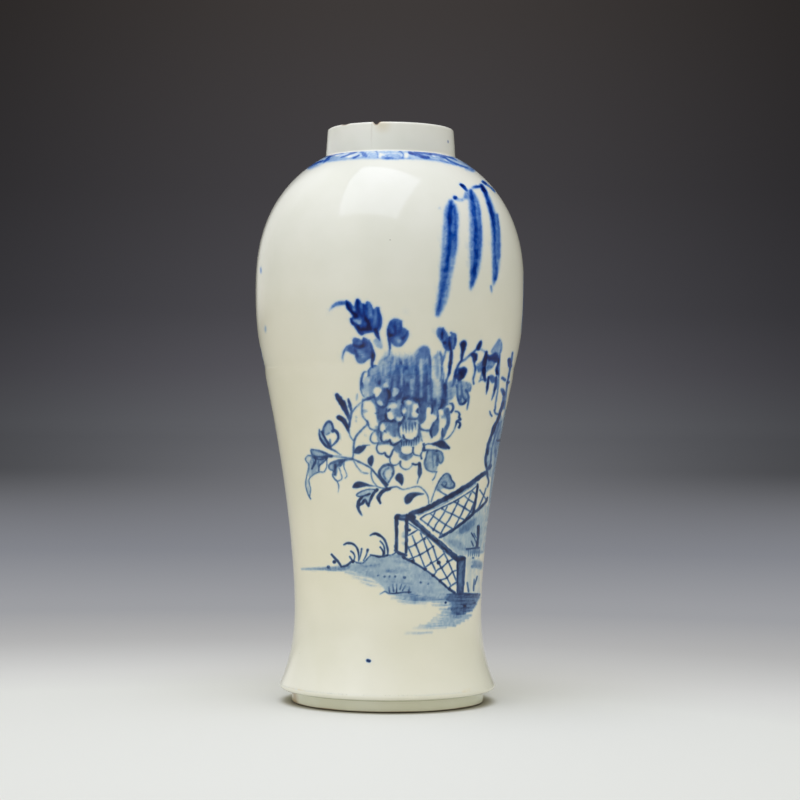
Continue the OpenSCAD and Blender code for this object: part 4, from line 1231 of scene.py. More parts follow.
# deep colour between the lobes
for ink, width, *points in (
        (0.86, [1, 2, 1], -13, 150, -10, 150.8, -7.6, 152),
        (0.9, [1.4, 2.6, 1.4], 5.6, 150, 7, 148.2, 7, 145.6),
        (0.9, [1.2, 2.2, 2.2, 1.2], -2.2, 142.4, -1, 139.6, 2.6, 138.8, 7.2, 138.8),
        (0.7, [1.2, 2, 1.2], 3.2, 144.4, 4.4, 142.6, 6.4, 142.4),
        (0.86, [1.2, 2.4, 1.2], 14.8, 141.6, 15.6, 139.4, 15.2, 137),
        (0.8, [1.2, 2, 1], -6.4, 136.4, -5.6, 133.4, -4.6, 130),
        (0.84, [1, 1.8, 1], 4.6, 138, 4.8, 134.6, 5.4, 131),
        (0.84, [1.2, 2.2, 1.2], 19.2, 149, 19.4, 146.6, 18.2, 144),
        (0.84, [1.2, 2.2, 1.2], 22.2, 149, 23, 146.6, 24.4, 144),
        (0.86, [1.2, 2, 1], 20.4, 135.6, 20.8, 132.6, 21.4, 130.8),
        (0.8, [1, 2, 1], 26.4, 135, 26.8, 132, 25.4, 129.8),
        (0.8, [1, 1.8, 1], 1.6, 128.6, 3.6, 127, 5.6, 126.4),
        (0.76, [1, 1.8, 1], -8, 135, -6.2, 134.6, -5, 134.8),
        (0.8, [1, 1.8, 1], -6, 156.8, -4.4, 158.4, -2.8, 159.6)):
    line([ink * 0.55, ink * 0.8, ink * 0.55], width, *points, soft=1.6)
hairs(7, 0.48, 0.6, ((-1, 132.6), (-0.6, 135), (-0.4, 138.4)), ((4.4, 132.6), (4.2, 135.4), (3.4, 138.8)))
hairs(7, 0.6, 0.6, ((6.6, 126.8), (7, 128), (7.4, 129.6)), ((15.8, 129), (15.4, 130.4), (14.6, 132)))
# streaks of dark and pale in the upper part, and the darkest colour where petals meet
for ink, width, x, low, high in ((0.82, 1.3, 9, 151, 163), (0.8, 1.4, 13.4, 158, 166),
        (0.84, 1.2, 18.6, 151, 168), (0.92, 2.2, 28, 152, 158.6), (0.8, 1.2, 1.6, 154, 164),
        (0.78, 1.4, -4.8, 157, 163)):
    line([ink * 0.7, ink, ink * 0.6], width, x, low, x + 0.2, (low + high) / 2, x, high, soft=0.9,
         hairs=0.1)
for share, width, x, low, high in ((0.5, 2, 11.4, 152, 160), (0.56, 2, 16, 152, 170),
        (0.5, 2.2, 22.6, 152, 170), (0.3, 2, -2, 160, 169), (0.4, 1.6, 6.2, 158, 166),
        (0.8, 2, 28.2, 159.4, 171), (0.44, 2, 24.6, 149, 160), (0.75, 1.5, 21.7, 161, 173),
        (0.6, 1.4, 25.3, 160, 172), (0.4, 1.4, 19.6, 150, 157), (0.36, 2, 8.6, 160, 164)):
    line(share, width, x, low, x, (low + high) / 2, x - 0.2, high, soft=1, hairs=0.1, lighten=True)
for width, *points in (
        (1.3, -4.6, 138.6, -1.6, 140.4, -1.3, 142.4),
        (1.5, 2.4, 139.7, 3.2, 140),
        (1.5, 8, 142.2, 7.5, 140.4, 6.2, 138.4, 5.2, 136.8),
        (1.3, -3.8, 133.6, -4, 131, -3.4, 129.4),
        (1.5, 0.7, 129.8, 1, 127.8),
        (1.5, 7.3, 132.4, 7.6, 131),
        (1.5, 12.2, 126, 12, 124.2),
        (1.4, 17.5, 128.2, 17.8, 126, 17.3, 124.8),
        (1.3, -13, 149.4, -10, 150.5, -7.3, 151.2),
        (1.8, 0.2, 154.8, -0.4, 152),
        (1.5, 8.8, 150.8, 7, 149.6, 7, 147),
        (1.8, 11.6, 151.4, 14.6, 150, 15.3, 147.6),
        (1.5, 20.3, 134.8, 20.8, 132.6, 21.5, 131.3),
        (1.3, 22.7, 138.3, 22.2, 136.8),
        (1.4, 27, 149.6, 26, 146.8, 24.8, 145.6),
        (1.3, 31.6, 148, 31.8, 145.6, 31, 144),
        (1.4, 21.8, 147, 21.4, 144),
        (1.1, 17, 135, 15.3, 136, 15, 138),
        (1.2, -5.4, 136.6, -5.4, 134.8)):
    line([0.8, 0.98, 0.84], 0.72 * width, *points, soft=0.6)
each(lift,
    (0.95, -10.2, 143, -7, 143, -6, 139.6, -6.6, 138, -8.8, 137.6, -9.8, 139.4),
    (0.9, 24.2, 133, 26, 133, 25.5, 131, 24, 130.2, 21.8, 129.8, 21, 130.7, 22.6, 131.4),
    (0.8, 5.6, 136.4, 5.3, 133.6, 6.2, 132, 7, 132.8, 8.4, 131.2, 9.8, 130.5, 12, 130.5, 13.6, 131.8,
     14.3, 134, 14.5, 137.6, 13.4, 137.4, 12.4, 135.8, 11, 135.2, 9, 135.2, 7.6, 136, 6.6, 137))
for x, top, foot in ((7, 138.2, 134.4), (8.5, 138.6, 134), (10.1, 138.6, 133.8), (11.7, 138.4, 134.2),
        (13.2, 138.8, 135.6)):
    line([0.75, 0.8, 0.5], [0.8, 0.8, 0.5], x - 0.2, top, x, (top + foot) / 2, x + 0.1, foot - 0.4)
    line([0.3, 0.6], 0.7, x + 0.7, top, x + 0.8, foot, lighten=True)
wash(0.4, -13.4, 145.2, -11.8, 145, -10.6, 144.3, -11.8, 143.7, -13.4, 143.4, soft=0.8)
for x, z, end_x, end_z in ((-5.4, 143.4, -7.4, 143.2), (20.6, 143.8, 22, 144.2), (21.4, 138.6, 22.8, 138.2),
        (19, 135, 19.8, 136.4), (-2.2, 134.4, -1.2, 133.6), (3, 132.2, 3.2, 131.2),
        (12.8, 131, 13.8, 130.4), (17, 131.6, 18, 131.4)):
    line([0.85, 0.5], [1.1, 0.4], x, z, end_x, end_z)
# the lower lobes
lift(0.95, 6.3, 126.2, 8, 127, 10.6, 127, 11.5, 125.4, 11, 123.8, 9, 123, 7.3, 123.4, 6.3, 124.6)
wash(0.55, 5, 124.6, 6, 124, 7.2, 122.8, 9.2, 122.5, 11, 123, 12.2, 122.4, 10.6, 120.5, 8.8, 119.8,
     6.6, 120.4, 5, 122, soft=0.8, streak=0.1)
each(line,
    (0.72, 0.9, 5.8, 126, 6, 124.2, 7, 123, 9, 122.5, 11, 123, 12, 124),
    ([0.85, 0.8, 0.6], [1.4, 1.2, 0.8], 12.2, 126.2, 12, 124.2, 12.8, 122.7, 14.6, 122.2, 15.8, 122),
    ([0.85, 0.7], [1.5, 0.8], 16.4, 120.8, 16, 122.4, 16.8, 124.4),
    (0.84, [0.8, 1.5, 1.2], 17, 128.2, 17.5, 126.6, 17, 124.8, 18.4, 125))
wash(0.56, 2.2, 125.4, 2.6, 127.6, 4.4, 128.2, 5.8, 127.4, 5.8, 124.6, 4.4, 123.4, 3, 124.4, soft=0.8)
wash(0.5, -5.2, 129, 1, 129, 1.4, 127.8, -2, 127.7, -5.6, 127.4, soft=0.7)
each(line,
    ([0.7, 0.75, 0.9, 0.75], [1.1, 1, 1.5, 0.9], -5.2, 128.6, -6, 126.6, -6, 124.8, -5, 123.3, -3.4, 123,
     -2, 123.5, -1.5, 122.3, 0, 121.4, 1, 122.2, 1.8, 124.2, 2.6, 125.6),
    (0.66, 0.9, 0.8, 122, 0.5, 120, 1, 118.3, 2.2, 117.3, 4, 117.6, 5.4, 118.6),
    (0.6, 1.1, -6.8, 134.6, -8.4, 133.2, -9.2, 131.2, -9, 129.4, -7.6, 128.3, -5.6, 128.4))
wash(0.42, -5.4, 134.8, -4.6, 131.8, -4.4, 129, -5.8, 129.6, -6, 132.4)
line([0.78, 0.6, 0.55], [1.3, 0.8, 0.8], 5.8, 119.2, 5.7, 117.4, 6.7, 116, 8.5, 115.3, 10.4, 115.8,
     11.6, 117.3)
# the right-hand petals
each(lift,
    (0.97, 20, 146.4, 21.4, 145.4, 22, 143.2, 23.5, 142.2, 23.8, 140.4, 22.4, 139, 22, 137, 20.6, 135.6,
     18.2, 135.4, 16.2, 136.3, 15.8, 137.8, 17.6, 139, 18.6, 141.4, 18.5, 144, 19, 146),
    (0.95, 16.6, 129.2, 16.6, 132, 16, 134.4, 18.6, 134.2, 20.8, 133.4, 20.6, 130.6, 18.6, 129),
    (0.95, 24.4, 143.6, 25, 145.2, 26.6, 145.2, 27.2, 143.4, 26.6, 142, 28, 140.4, 28.3, 138.4, 27.2, 136.8,
     26.4, 134.6, 25.8, 132.8, 25, 132.8, 25, 136.6, 25.2, 140),
    (0.97, 30.8, 146.6, 32.4, 144, 33.6, 143.4, 33.7, 140.8, 33.2, 138, 32, 135.2, 30.4, 132.8, 29.2, 131.8,
     30.2, 135.4, 31, 139, 30.8, 142.4),
    (0.8, 28.6, 145.8, 28.4, 147.2, 30.2, 147.4, 31.2, 146.4, 30.4, 145.4))
wash(0.58, 24.2, 143.2, 25, 139.4, 24.8, 135, 23.7, 132.4, 21.8, 132, 21.2, 135, 22.6, 138.4, 24, 140.4,
     soft=0.7)
wash(0.62, 28, 146, 29.8, 146, 30.7, 142, 30.4, 138, 29, 134.6, 28, 132, 26.8, 130.6, 26.2, 132,
     27.2, 135.4, 28.5, 138.2, 28.6, 141, 27.4, 143.6, soft=0.7, streak=0.1)
each(line,
    ([0.85, 0.95, 0.8], [1.2, 1.7, 1.1], 22.4, 138.6, 21.4, 136.4, 20.8, 134.6, 21, 132.8, 21.6, 131.6),
    ([0.9, 0.85], [1.3, 1.4], 21.5, 147.4, 21.6, 145, 21.3, 143.4),
    (0.7, 1, 24, 144.8, 24.6, 142.6, 24.2, 140.6, 23, 139),
    (0.8, 1.2, 26.8, 135.6, 26.5, 133.4, 26.7, 130.6),
    (0.6, 0.9, 26.2, 142, 26.7, 141.2),
    ([0.6, 0.8], [0.9, 1], 15.5, 137.2, 16, 135.6, 17.6, 134.8, 19.6, 134.8, 20.6, 135.2),
    (0.6, 0.8, 15.5, 133.6, 16.2, 131.2, 16.7, 129.4),
    ([0.7, 0.85], [1, 1.5], 30.3, 148.3, 31.6, 148.2, 32.2, 146.6, 31.7, 145, 31, 144),
    (0.8, [0.9, 1.6, 0.9], 33, 144.5, 34.3, 144.2, 35.3, 143, 35, 141.6, 35.7, 140.4, 34.6, 140,
     33.7, 139.2, 33.6, 138),
    (0.88, [0.9, 1.8], 33.7, 139.2, 35, 139, 35.6, 138, 35, 136.3),
    ([0.7, 0.5, 0.6], 0.8, 33.6, 138.4, 33, 136.2, 32, 134.2, 30.6, 132.2, 29, 130.8, 27.4, 130.2))

place(load=1.08)
upper_leaves()

# buds on their stems over the flower
wash(0.6, 23.4, 185, 24.6, 186.3, 26.8, 186, 28.3, 184.5, 29.3, 182.4, 30, 180, 30.3, 177, 30.2, 174.6,
     28.6, 174.8, 27, 176.4, 26, 179, 24.4, 181, 23.5, 183, streak=0.12, soft=0.8)
line([0.8, 0.92, 0.8], [1.1, 1.6, 1.3], 26.7, 186, 26.4, 183, 26.2, 180.8)
dot(0.95, 2, 27.6, 178.6)
line([0.9, 1, 0.9], [0.9, 1.6, 1.4], 30, 181.4, 30, 178.6, 30.6, 175.4)
wash(0.4, 30.6, 182, 31.8, 183.4, 33, 181.8, 33, 178.6, 32, 176, 31, 175, 30.6, 178, rim=0.3, soft=0.7)
each(line,
    (0.7, 1.1, 30.8, 183.8, 31.6, 183.2, 32.8, 182.8, 33, 180.6, 32.8, 178, 32, 175.8),
    ([0.98, 0.98, 0.9, 0.6, 0.6], [1.4, 1.9, 1.6, 1.1, 1.2], 31, 175, 30.8, 171, 30.3, 167.4, 30, 164,
     29, 160.6, 28, 158),
    ([0.5, 0.6, 0.4], [0.9, 1.1, 0.8], 28.2, 175, 27.4, 171.6, 26.4, 168, 26.2, 163.6, 25.4, 159.4))
wash(0.97, 35.2, 178, 36, 179.5, 37.5, 180, 38.6, 179, 38.3, 176.4, 37.3, 173.4, 36.6, 170.6, 35.8, 169.6,
     35.5, 172, 35.8, 175, soft=0.8)
each(line,
    ([0.85, 0.62], [1.1, 0.9], 36.2, 170.2, 35, 168.4, 33.7, 166, 32.8, 163, 32.2, 160, 31.6, 157),
    (0.55, 1.1, 35.6, 169.2, 37.6, 170.2, 39.4, 171.8, 40.8, 173.4))
wash(0.85, 40.4, 172.8, 41.2, 174, 42.6, 173.8, 44, 173.2, 44, 171.4, 43.3, 169.4, 42.4, 168, 41.7, 169.4,
     41.4, 171.2, soft=0.8)
line(0.96, 1.5, 43.3, 172.6, 43.3, 170.6)
wash(0.92, 43.2, 176, 44, 178, 45, 179.5, 46, 180, 46.3, 178.2, 45.6, 176.2, 45, 175, 43.6, 175, soft=0.8)
each(line,
    (0.6, 1, 42, 174, 43.4, 175.4),
    ([0.75, 0.6, 0.7], [1, 0.9, 1], 42.5, 168.2, 43, 166, 42.6, 163, 42, 160.6, 42.2, 158.2))
wash(0.8, 34, 164, 34.6, 166, 36, 166.4, 37.6, 166.8, 39, 165.4, 38.6, 163.4, 37.5, 161.4, 36, 160,
     34.6, 159.4, 33.5, 161.6, soft=0.8)
each(line,
    (0.95, 2, 35.6, 163.8, 36.6, 161.8),
    ([0.5, 0.75, 0.5], [0.8, 1.2, 0.8], 34.4, 166, 33.2, 163.4, 33, 160.4, 32.2, 157.6))
# the pale leaf under the buds
wash(0.42, 33, 159, 36, 159.6, 39.6, 158.6, 39.8, 154, 39.4, 149.6, 36.4, 148, 34.6, 149, 33.8, 154,
     rim=0.1, streak=0.22, soft=0.7)
each(line,
    ([0.6, 0.75, 0.75], [0.9, 1.2, 1.2], 33.8, 157.6, 34, 153.6, 34.6, 149.8, 35.6, 148, 37.6, 148.6,
     38.6, 150.4),
    ([0.66, 0.7], [0.9, 1.1], 36.2, 156.6, 36.4, 153.6, 37.2, 151.2, 38.6, 149.6),
    ([0.7, 0.75, 0.5], [1.2, 1.1, 0.7], 38.4, 155.2, 39.6, 152.4, 39.7, 149.6, 39.2, 146.8, 39, 145.4),
    ([0.4, 0.7], [0.8, 1.2], 40, 158.6, 40.8, 157, 40.3, 154.8))
line([0.3, 0.5], [1, 1.2], 35.2, 158, 35.3, 153, lighten=True)
wash(0.36, 28.4, 158, 33, 159.6, 33.4, 154, 31.4, 150.4, 29.4, 151, streak=0.2, soft=1)
# the spiky leaves at the right
wash(0.5, 43.4, 167, 45, 169, 47.2, 169.6, 47.4, 166, 46, 164.4, 44.6, 164, streak=0.15, soft=0.9)
line(0.45, 0.9, 46, 175.4, 47.4, 174.6, 48.6, 173.2)
wash(0.34, 50.8, 174, 52, 176.8, 53.6, 179.2, 55, 181, 56.2, 179, 56.4, 176, 55.2, 173.4, rim=0.25,
     soft=0.7)
each(wash,
    (0.8, 48.4, 173.8, 50, 172.6, 51.6, 173.4, 53.4, 174.2, 54.8, 172.2, 54.6, 170, 53, 168.8, 51, 169.6,
     49.4, 169.8),
    (0.45, 49, 169.6, 51.4, 170, 53, 168.6, 51.8, 166.6, 50, 165.2, 48.6, 164.4), soft=0.9)
each(line,
    ([0.9, 0.97, 0.95, 0.85], [1.4, 2.4, 2.2, 1.4], 48.5, 174.2, 48, 170.4, 47.4, 166.4, 47.5, 162.6,
     48, 160),
    ([0.8, 0.85], [1.2, 1.6], 54.6, 171, 54.4, 168.6, 53.8, 165.8, 54, 163.4))
wash(0.6, 49.6, 162, 51.4, 162.8, 53, 161.6, 54, 162.6, 53.4, 160, 51.6, 158.6, 50.4, 160, soft=0.8)
each(line,
    ([0.9, 0.9, 0.6], [1.1, 1.2, 0.6], 49.6, 161.6, 49.2, 158, 48.8, 155, 48.6, 153.2),
    ([0.8, 0.75, 0.5], [1.4, 1.2, 0.5], 53.5, 161.4, 53.3, 158, 52.7, 155, 52, 152.4, 51.2, 150.2),
    (0.5, 0.9, 47.5, 160.2, 46.2, 160.4, 45, 159.6),
    (0.5, 0.9, 46.4, 163.4, 45.6, 161),
    ([0.6, 0.45, 0.5], 0.9, 55.2, 173, 55, 168, 54.8, 163, 54.5, 158, 54, 153, 53.2, 148, 53, 145),
    (0.72, 1.8, 56.6, 161.2, 57.8, 160.4),
    (0.72, 1.8, 56.5, 155.4, 57.4, 153.2))
dot(0.8, 1.6, 59.4, 159.3)
each(line,
    (0.78, 2.2, 60, 170.2, 60.4, 167.6),
    ([0.6, 0.72, 0.7], [1.2, 1.7, 1.3], 57.6, 152.6, 57, 149.4, 56.4, 146.6, 55.4, 144),
    (0.75, 0.9, 52.7, 145.2, 53.2, 143.6, 54.8, 143),
    (0.72, 0.8, 50.3, 144.6, 50.7, 143.2, 51.4, 142.2),
    ([0.5, 0.6, 0.4], 1, 61.6, 174, 61, 169, 60, 164, 59, 158, 58.3, 152, 57.6, 146))

place(press=0.92)
lower_left_leaves()

# the dark leaf, the round leaf and the drop below it
wash(0.88, 20.6, 128, 23, 129, 26, 130, 27.4, 129.7, 29, 128.2, 30.3, 126.4, 28.8, 125.5, 26.2, 125.8,
     23.6, 127, soft=0.6)
each(line,
    (0.98, 1.4, 29.5, 126.6, 30, 126.2),
    (0.6, 0.7, 20.8, 128, 19.2, 128, 17.6, 127.2))
wash(0.36, 19.6, 124.8, 18.4, 121, 18.2, 117.5, 19.6, 114.8, 22.4, 114.4, 24.2, 115.5, 24.2, 119,
     26.4, 118.6, 27, 121.4, 25.8, 124, 23.6, 125, soft=0.7, streak=0.08)
each(line,
    ([0.75, 0.6], [1, 0.9], 19.4, 124.8, 18.7, 122, 18, 119, 18.2, 116.8, 19.4, 115, 21.4, 114.2,
     24, 114.2),
    ([0.6, 0.8], [0.8, 1.6], 17.4, 125.4, 19.6, 125, 22, 124.8, 24, 124.6),
    (0.66, 1, 24, 125, 26, 124.2, 27, 122.2, 27, 120.2, 26.2, 118.6, 25, 119.2, 24.4, 121.4),
    (0.64, 1.5, 22.4, 123.4, 24.2, 122.6, 24.3, 120.4, 24, 117.6),
    (0.55, 0.9, 21.8, 123.8, 22, 120, 22.4, 116.4),
    (0.5, 0.7, 23.8, 114, 23, 111.6, 22, 110),
    ([0.9, 0.95, 0.85, 0.8], [1.9, 2.3, 2.3, 1], 15.2, 118.3, 15.5, 116, 15.5, 113.5, 15.2, 111.2),
    (0.85, 1.1, 12, 118, 13.4, 117.6, 14.8, 118),
    (0.6, 0.6, 15, 111.2, 14.3, 108.4))
# the arched stem, its dark leaves and the curled leaf
line([0.8, 0.6, 0.5, 0.6], [1.2, 0.7, 0.8, 0.8], -0.5, 105.6, 1, 106, 4, 106.6, 5.8, 105.7, 7.5, 105.3,
     10, 105.8, 13, 106.6, 15.4, 106.6, 17.6, 105, 19.3, 102.6, 20, 100, 20, 98.5)
each(wash,
    (0.9, 17.8, 103, 15, 103.8, 12, 103.8, 9.5, 103, 8, 101.2, 8, 99, 9, 98, 11, 98.8, 12.6, 101,
     14.6, 102.2),
    (0.88, 6.5, 107.3, 5, 108.8, 3.5, 110, 3.3, 111.5, 4.2, 113, 5.6, 113.4, 7, 112.4, 7.5, 110.4,
     7.2, 108.4), soft=0.6)
line(0.6, 0.8, -1.6, 107, -0.8, 106.2, -0.6, 105.2)
wash(0.36, 23.8, 105, 25.4, 108.4, 27.2, 111.4, 29, 112.8, 30.4, 112, 31.4, 109.6, 32.2, 107.2, 30, 105.8,
     27.2, 106, 25.4, 104.6, rim=0.1)
each(line,
    ([0.6, 0.8, 0.75], [0.7, 1.1, 1], 21.3, 99, 22.2, 102.2, 23.5, 105.6, 25, 109, 27, 112, 29, 113.3,
     30.6, 112.3, 31.5, 110, 32.8, 108.2, 32.4, 106.5, 30.5, 106, 28.3, 106.5, 26.5, 107.8),
    (0.7, 0.8, 26.6, 107.8, 27.4, 109.2, 29, 108.8, 28.5, 107),
    (0.6, 0.9, 24.6, 105.4, 26.8, 103.6, 29.6, 102.2))

wash(0.24, 27, 80.8, 31, 84, 36, 87.2, 41, 91.6, 45.6, 96, 48.6, 98, 50, 94, 48, 86, 47, 78, 46, 73,
     38, 72.5, 34.6, 73, 30.6, 76.6, soft=1.2, streak=0.08)
wash(0.42, 33, 83.6, 36.6, 87.4, 41, 90.6, 44.6, 92, 44, 88, 40, 84.4, 36, 82.6, soft=2.6, streak=0.1)
wash(0.36, 29.6, 79.4, 33, 81, 38, 78.6, 39.6, 75, 36, 74.4, 32.6, 76.4, soft=2.4, streak=0.1)
wash(0.5, 35.6, 84.6, 37, 87.4, 40, 88.4, 41, 86, 39, 84.2, soft=2)
line([0.3, 0.5, 0.4], [1.6, 2.2, 1.4], 39.6, 74.4, 43, 74, 47, 74.4, soft=1.4)
each(line,
    (0.85, 1.6, 45, 87, 44.8, 82, 44.3, 77),
    (0.8, 0.9, 41.5, 83.6, 43, 81.2, 44, 78.4),
    (0.75, 0.9, 41.5, 79.6, 42.4, 77.4),
    (0.7, 0.8, 42.8, 83.4, 43.8, 81.4),
    (0.8, 1.1, 39, 75.6, 42, 76, 45.2, 76.3))
for x in range(6):
    line(0.6, 0.6, 40.2 + 1.05 * x, 75.4, 40 + 1.05 * x, 72.2)
dot(0.8, 1.2, 42.4, 71.3)
# reeds right of the lower post
wash(0.1, 38.4, 71, 42, 72, 46, 71, 46.4, 60, 46, 53.6, 40, 53.2, 38.2, 60, soft=1.2, streak=0.1)
wash(0.4, 41.4, 69.4, 44, 70.2, 47, 69, 46.6, 65.6, 43.6, 66.4, soft=1.6)
each(line,
    (0.62, 1, 43, 60.6, 42.7, 55),
    (0.62, 1, 44.5, 62, 43.4, 58.2),
    (0.62, 1, 39.6, 58.8, 40.2, 54.6),
    (0.4, 1.8, 42, 67, 46, 67.4))

# the lattice, the bars that fall to the right and then those that rise
for bar in (
        (16.1, 90.4, 19.8, 87.6, 22.6, 85.4, 26, 83.4, 28.4, 82.6),
        (21, 93.2, 22.9, 91.6, 25.5, 89.8, 28.7, 87.7, 32.4, 85.6),
        (26.3, 96.2, 28.7, 94.4, 32, 93, 35.2, 91.4, 38.6, 90),
        (32.8, 99.4, 35, 98, 38, 96.2, 40.7, 94.5, 42.6, 93.2),
        (37.8, 102.4, 40.2, 100.2, 42.3, 99, 43.2, 98),
        (41.5, 104.8, 43, 103.6, 43.8, 102.4),
        (45.6, 105.2, 47.6, 102.2, 49, 100),
        (19.6, 87.6, 20.9, 89.8, 22.3, 92, 23.4, 94.6),
        (22.4, 84.8, 23.9, 87.9, 25.5, 90.2, 27.4, 93, 29.4, 97),
        (25.8, 82.6, 27.4, 85.6, 28.7, 88, 30.6, 90.7, 33.3, 96.2, 35, 99.6),
        (33, 86.4, 35.2, 90.7, 36.6, 93.4, 38, 96.7, 39.3, 99.4, 41.2, 103.6),
        (38.4, 90.2, 39.8, 92.5, 41.2, 94.8, 42, 97, 43, 99.4),
        (44.6, 95.6, 46, 98.6, 47.6, 102.6, 48.6, 106)):
    line([0.66, 0.74, 0.66], 0.85, *bar)
for x, z in ((22.6, 85.3), (19.8, 87.6), (25.4, 89.9), (26.8, 95.8), (31.7, 93), (32.8, 99.3), (35.2, 91.4),
        (37.9, 96.4), (40.2, 100.2), (28.7, 87.8)):
    dot(0.82, 1.2, x, z)
each(line,
    (0.38, 1, 15, 92.7, 20, 95, 25, 97, 30, 99.6, 35, 102.6, 39, 105.4, 43.6, 108.4),
    ([0.7, 0.8, 0.66], 0.8, 16, 90.7, 18.6, 92.5, 21, 93.5, 26.4, 96.2, 33, 99.5, 38, 102.6, 41.6, 105,
     44, 107.2),
    ([0.85, 0.95, 0.85], [1.4, 1.7, 1.1], 25.6, 81.4, 28, 82.6, 32, 85, 35.5, 87.5, 38.6, 90, 41, 92,
     43, 94, 45.5, 96, 48.6, 99.2, 49.4, 101.4),
    (0.9, [1.2, 1.5], 44.5, 108, 44, 103.4, 43.4, 99.6, 42.4, 93.6),
    ([0.92, 0.9, 0.88], [2.6, 2.8, 2.3], 11, 93, 15, 94.3, 20, 96.5, 25, 99, 30, 101.4, 35, 104.5,
     40, 107.7, 44, 110.7, 48.4, 114))

for bar in (
        (9.8, 76.8, 13, 69.5),
        (12, 82, 14, 77, 18.5, 66),
        (16, 83.5, 18, 79, 20.5, 72, 24, 64),
        (19.5, 81, 22.3, 76.5, 24.5, 70, 27, 65.5, 29.5, 61, 31.5, 57),
        (27.5, 74.5, 30, 69.5, 32.3, 64, 34, 60),
        (9.5, 82, 14.5, 85),
        (9.8, 76, 13.5, 77.8, 18, 81, 20, 82),
        (10.5, 70.5, 15.5, 72.5, 19, 74.5, 22.5, 77),
        (18.5, 66.5, 21.5, 68.5, 24.5, 70.3, 28, 73.5),
        (23, 62.5, 24.5, 65, 27, 66.5, 30, 69.3, 33, 71),
        (26, 60, 29.3, 61.3, 32.3, 64.3, 34.5, 65),
        (30.5, 56.5, 34, 59)):
    line([0.66, 0.75, 0.66], 0.85, *bar)
for x, z in ((13.6, 77.8), (15.6, 72.7), (18, 80.6), (19.4, 74.8), (22.2, 76.8), (21.4, 68.8), (26.6, 66.2),
        (29.6, 69.4), (32.2, 64.2), (29.4, 61.2)):
    dot(0.88, 1.3, x, z)
dot(1, 2, 25.2, 68.8)
dot(0.95, 1.4, 10.5, 85)
line([0.9, 0.85, 0.9], [1.3, 1.1, 1.3], 7.7, 71.5, 10, 70, 14, 68, 18, 65.5, 22.5, 62.3, 26, 59.5, 30, 56,
     33.4, 53.7)
for x, z in ((12, 69.3), (18.5, 65.4), (22.5, 62.4), (26, 59.8), (30.5, 56)):
    dot(0.96, 1.8, x, z)
each(line,
    (0.7, 0.8, 10, 88.5, 14, 85.8, 16, 84.5, 22, 80, 28, 74.6, 33.6, 70.2),
    ([0.95, 0.88, 0.92], [2.8, 2.6, 2.8], 10.4, 91.2, 14, 88.5, 18, 85, 22, 81.5, 26, 78.5, 30, 74.5,
     35, 70.5))
line(0.25, 0.7, 13, 89.8, 18, 85.7, 24, 80.5, 31, 74.4, lighten=True)
# posts
wash(0.74, 34.4, 71.6, 38.5, 71.6, 38, 66, 37.4, 53.4, 34.4, 53.4, 34.5, 62, soft=0.6)
line(0.2, 1.5, 36.4, 68, 36, 60, 36, 55.4, lighten=True, soft=0.8)
each(line,
    (0.97, 2.6, 34.8, 70.6, 37.8, 71),
    ([0.9, 0.85], 0.9, 34.6, 70, 34.6, 62, 34.6, 53.6),
    ([0.9, 0.85], 0.9, 38.4, 70.6, 38, 62, 37.4, 53.6),
    ([0.92, 0.9], 1.9, 4.2, 92, 4, 84, 4, 75.2),
    (0.86, 3, 4.2, 91.4, 9.4, 91.2),
    ([0.98, 0.9, 0.85], [2, 1.8, 1.7], 9.2, 91, 9, 83, 8.8, 73.6),
    (0.85, 1.7, 3.5, 74.8, 5.6, 73.4, 9, 72.4),
    (1, 3.2, 9.6, 91.7, 12.4, 91.4))
line(0.3, 0.9, 6, 91.6, 8.2, 91.4, lighten=True)
dot(0.95, 2, 7.9, 71.3)

ground()
place()

# the right side: one more hanging blade, the far half of the rock, and the bank it stands on
place(86)
wash(0.5, -4.6, 218, -2, 214, -1.2, 206, -1.8, 198, -4, 190, -6.4, 186, -6.6, 192, -6.6, 200, -6.2, 208,
     -5.8, 214, soft=1.2, streak=0.14)
line([0.7, 0.85, 0.7], [1.2, 2, 1.2], -4.2, 217, -3.8, 208, -4, 198, -5.8, 188, soft=1.2, hairs=0.12)
wash(0.3, -10, 144, 4, 142, 9, 136, 7.4, 130, 12, 124, 10, 117, 13, 109, 12, 100, -10, 100, streak=0.2,
     soft=1.6)
line([0.7, 0.9, 0.85, 0.9, 0.8], [1, 1.7, 1.4, 1.7, 1.2], -3, 145, 4, 142.6, 9.2, 136.6, 7.6, 130.4,
     12.2, 124.4, 10.2, 117.4, 13.2, 109.4, 12, 100)
for x, z in ((2, 138), (5, 127), (3, 117), (8, 112), (4, 106)):
    line([0.5, 0.65, 0.4], [0.8, 1.3, 0.8], x, z, x + 1.2, z - 3.4, x + 0.2, z - 7)
wash(0.22, -10, 99, 8, 100, 15, 96, 21, 90, 26, 83, 20, 78, 10, 75, -10, 73, soft=1.6, streak=0.1, lean=1.5)
for x, z, end in ((2, 92, 12), (8, 86, 18), (2, 80, 14), (-2, 68, 10), (-4, 55, 6)):
    line([0.2, 0.4, 0.2], 1.6, x, z, (x + end) / 2, z - 0.4, end, z + 0.2, soft=1.3, hairs=0.08)
for x, z, lean in ((14, 96, 3), (16, 95, 5), (12.6, 97, 0)):
    line([0.9, 0.6], [1.2, 0.6], x, z, x + lean / 2, z + 4, x + lean, z + 7)
leaf(0.85, 3.4, 6, 141, 14, 149)
leaf(0.5, 4.4, 4, 142, 5, 154)
# the left side: a loose sprig
place(-92)
line([0.6, 0.75, 0.6], [0.8, 1.1, 0.8], -12, 140, -8, 150, -3, 158, 2, 165)
leaf(0.42, 9.5, 1.4, 163.6, 11.5, 178)
leaf(0.85, 4.6, -4, 157, -13, 163)
leaf(0.85, 4.2, -8, 149.6, 1.6, 151.4)
leaf(0.6, 3.6, -11, 142, -17, 149)
place()

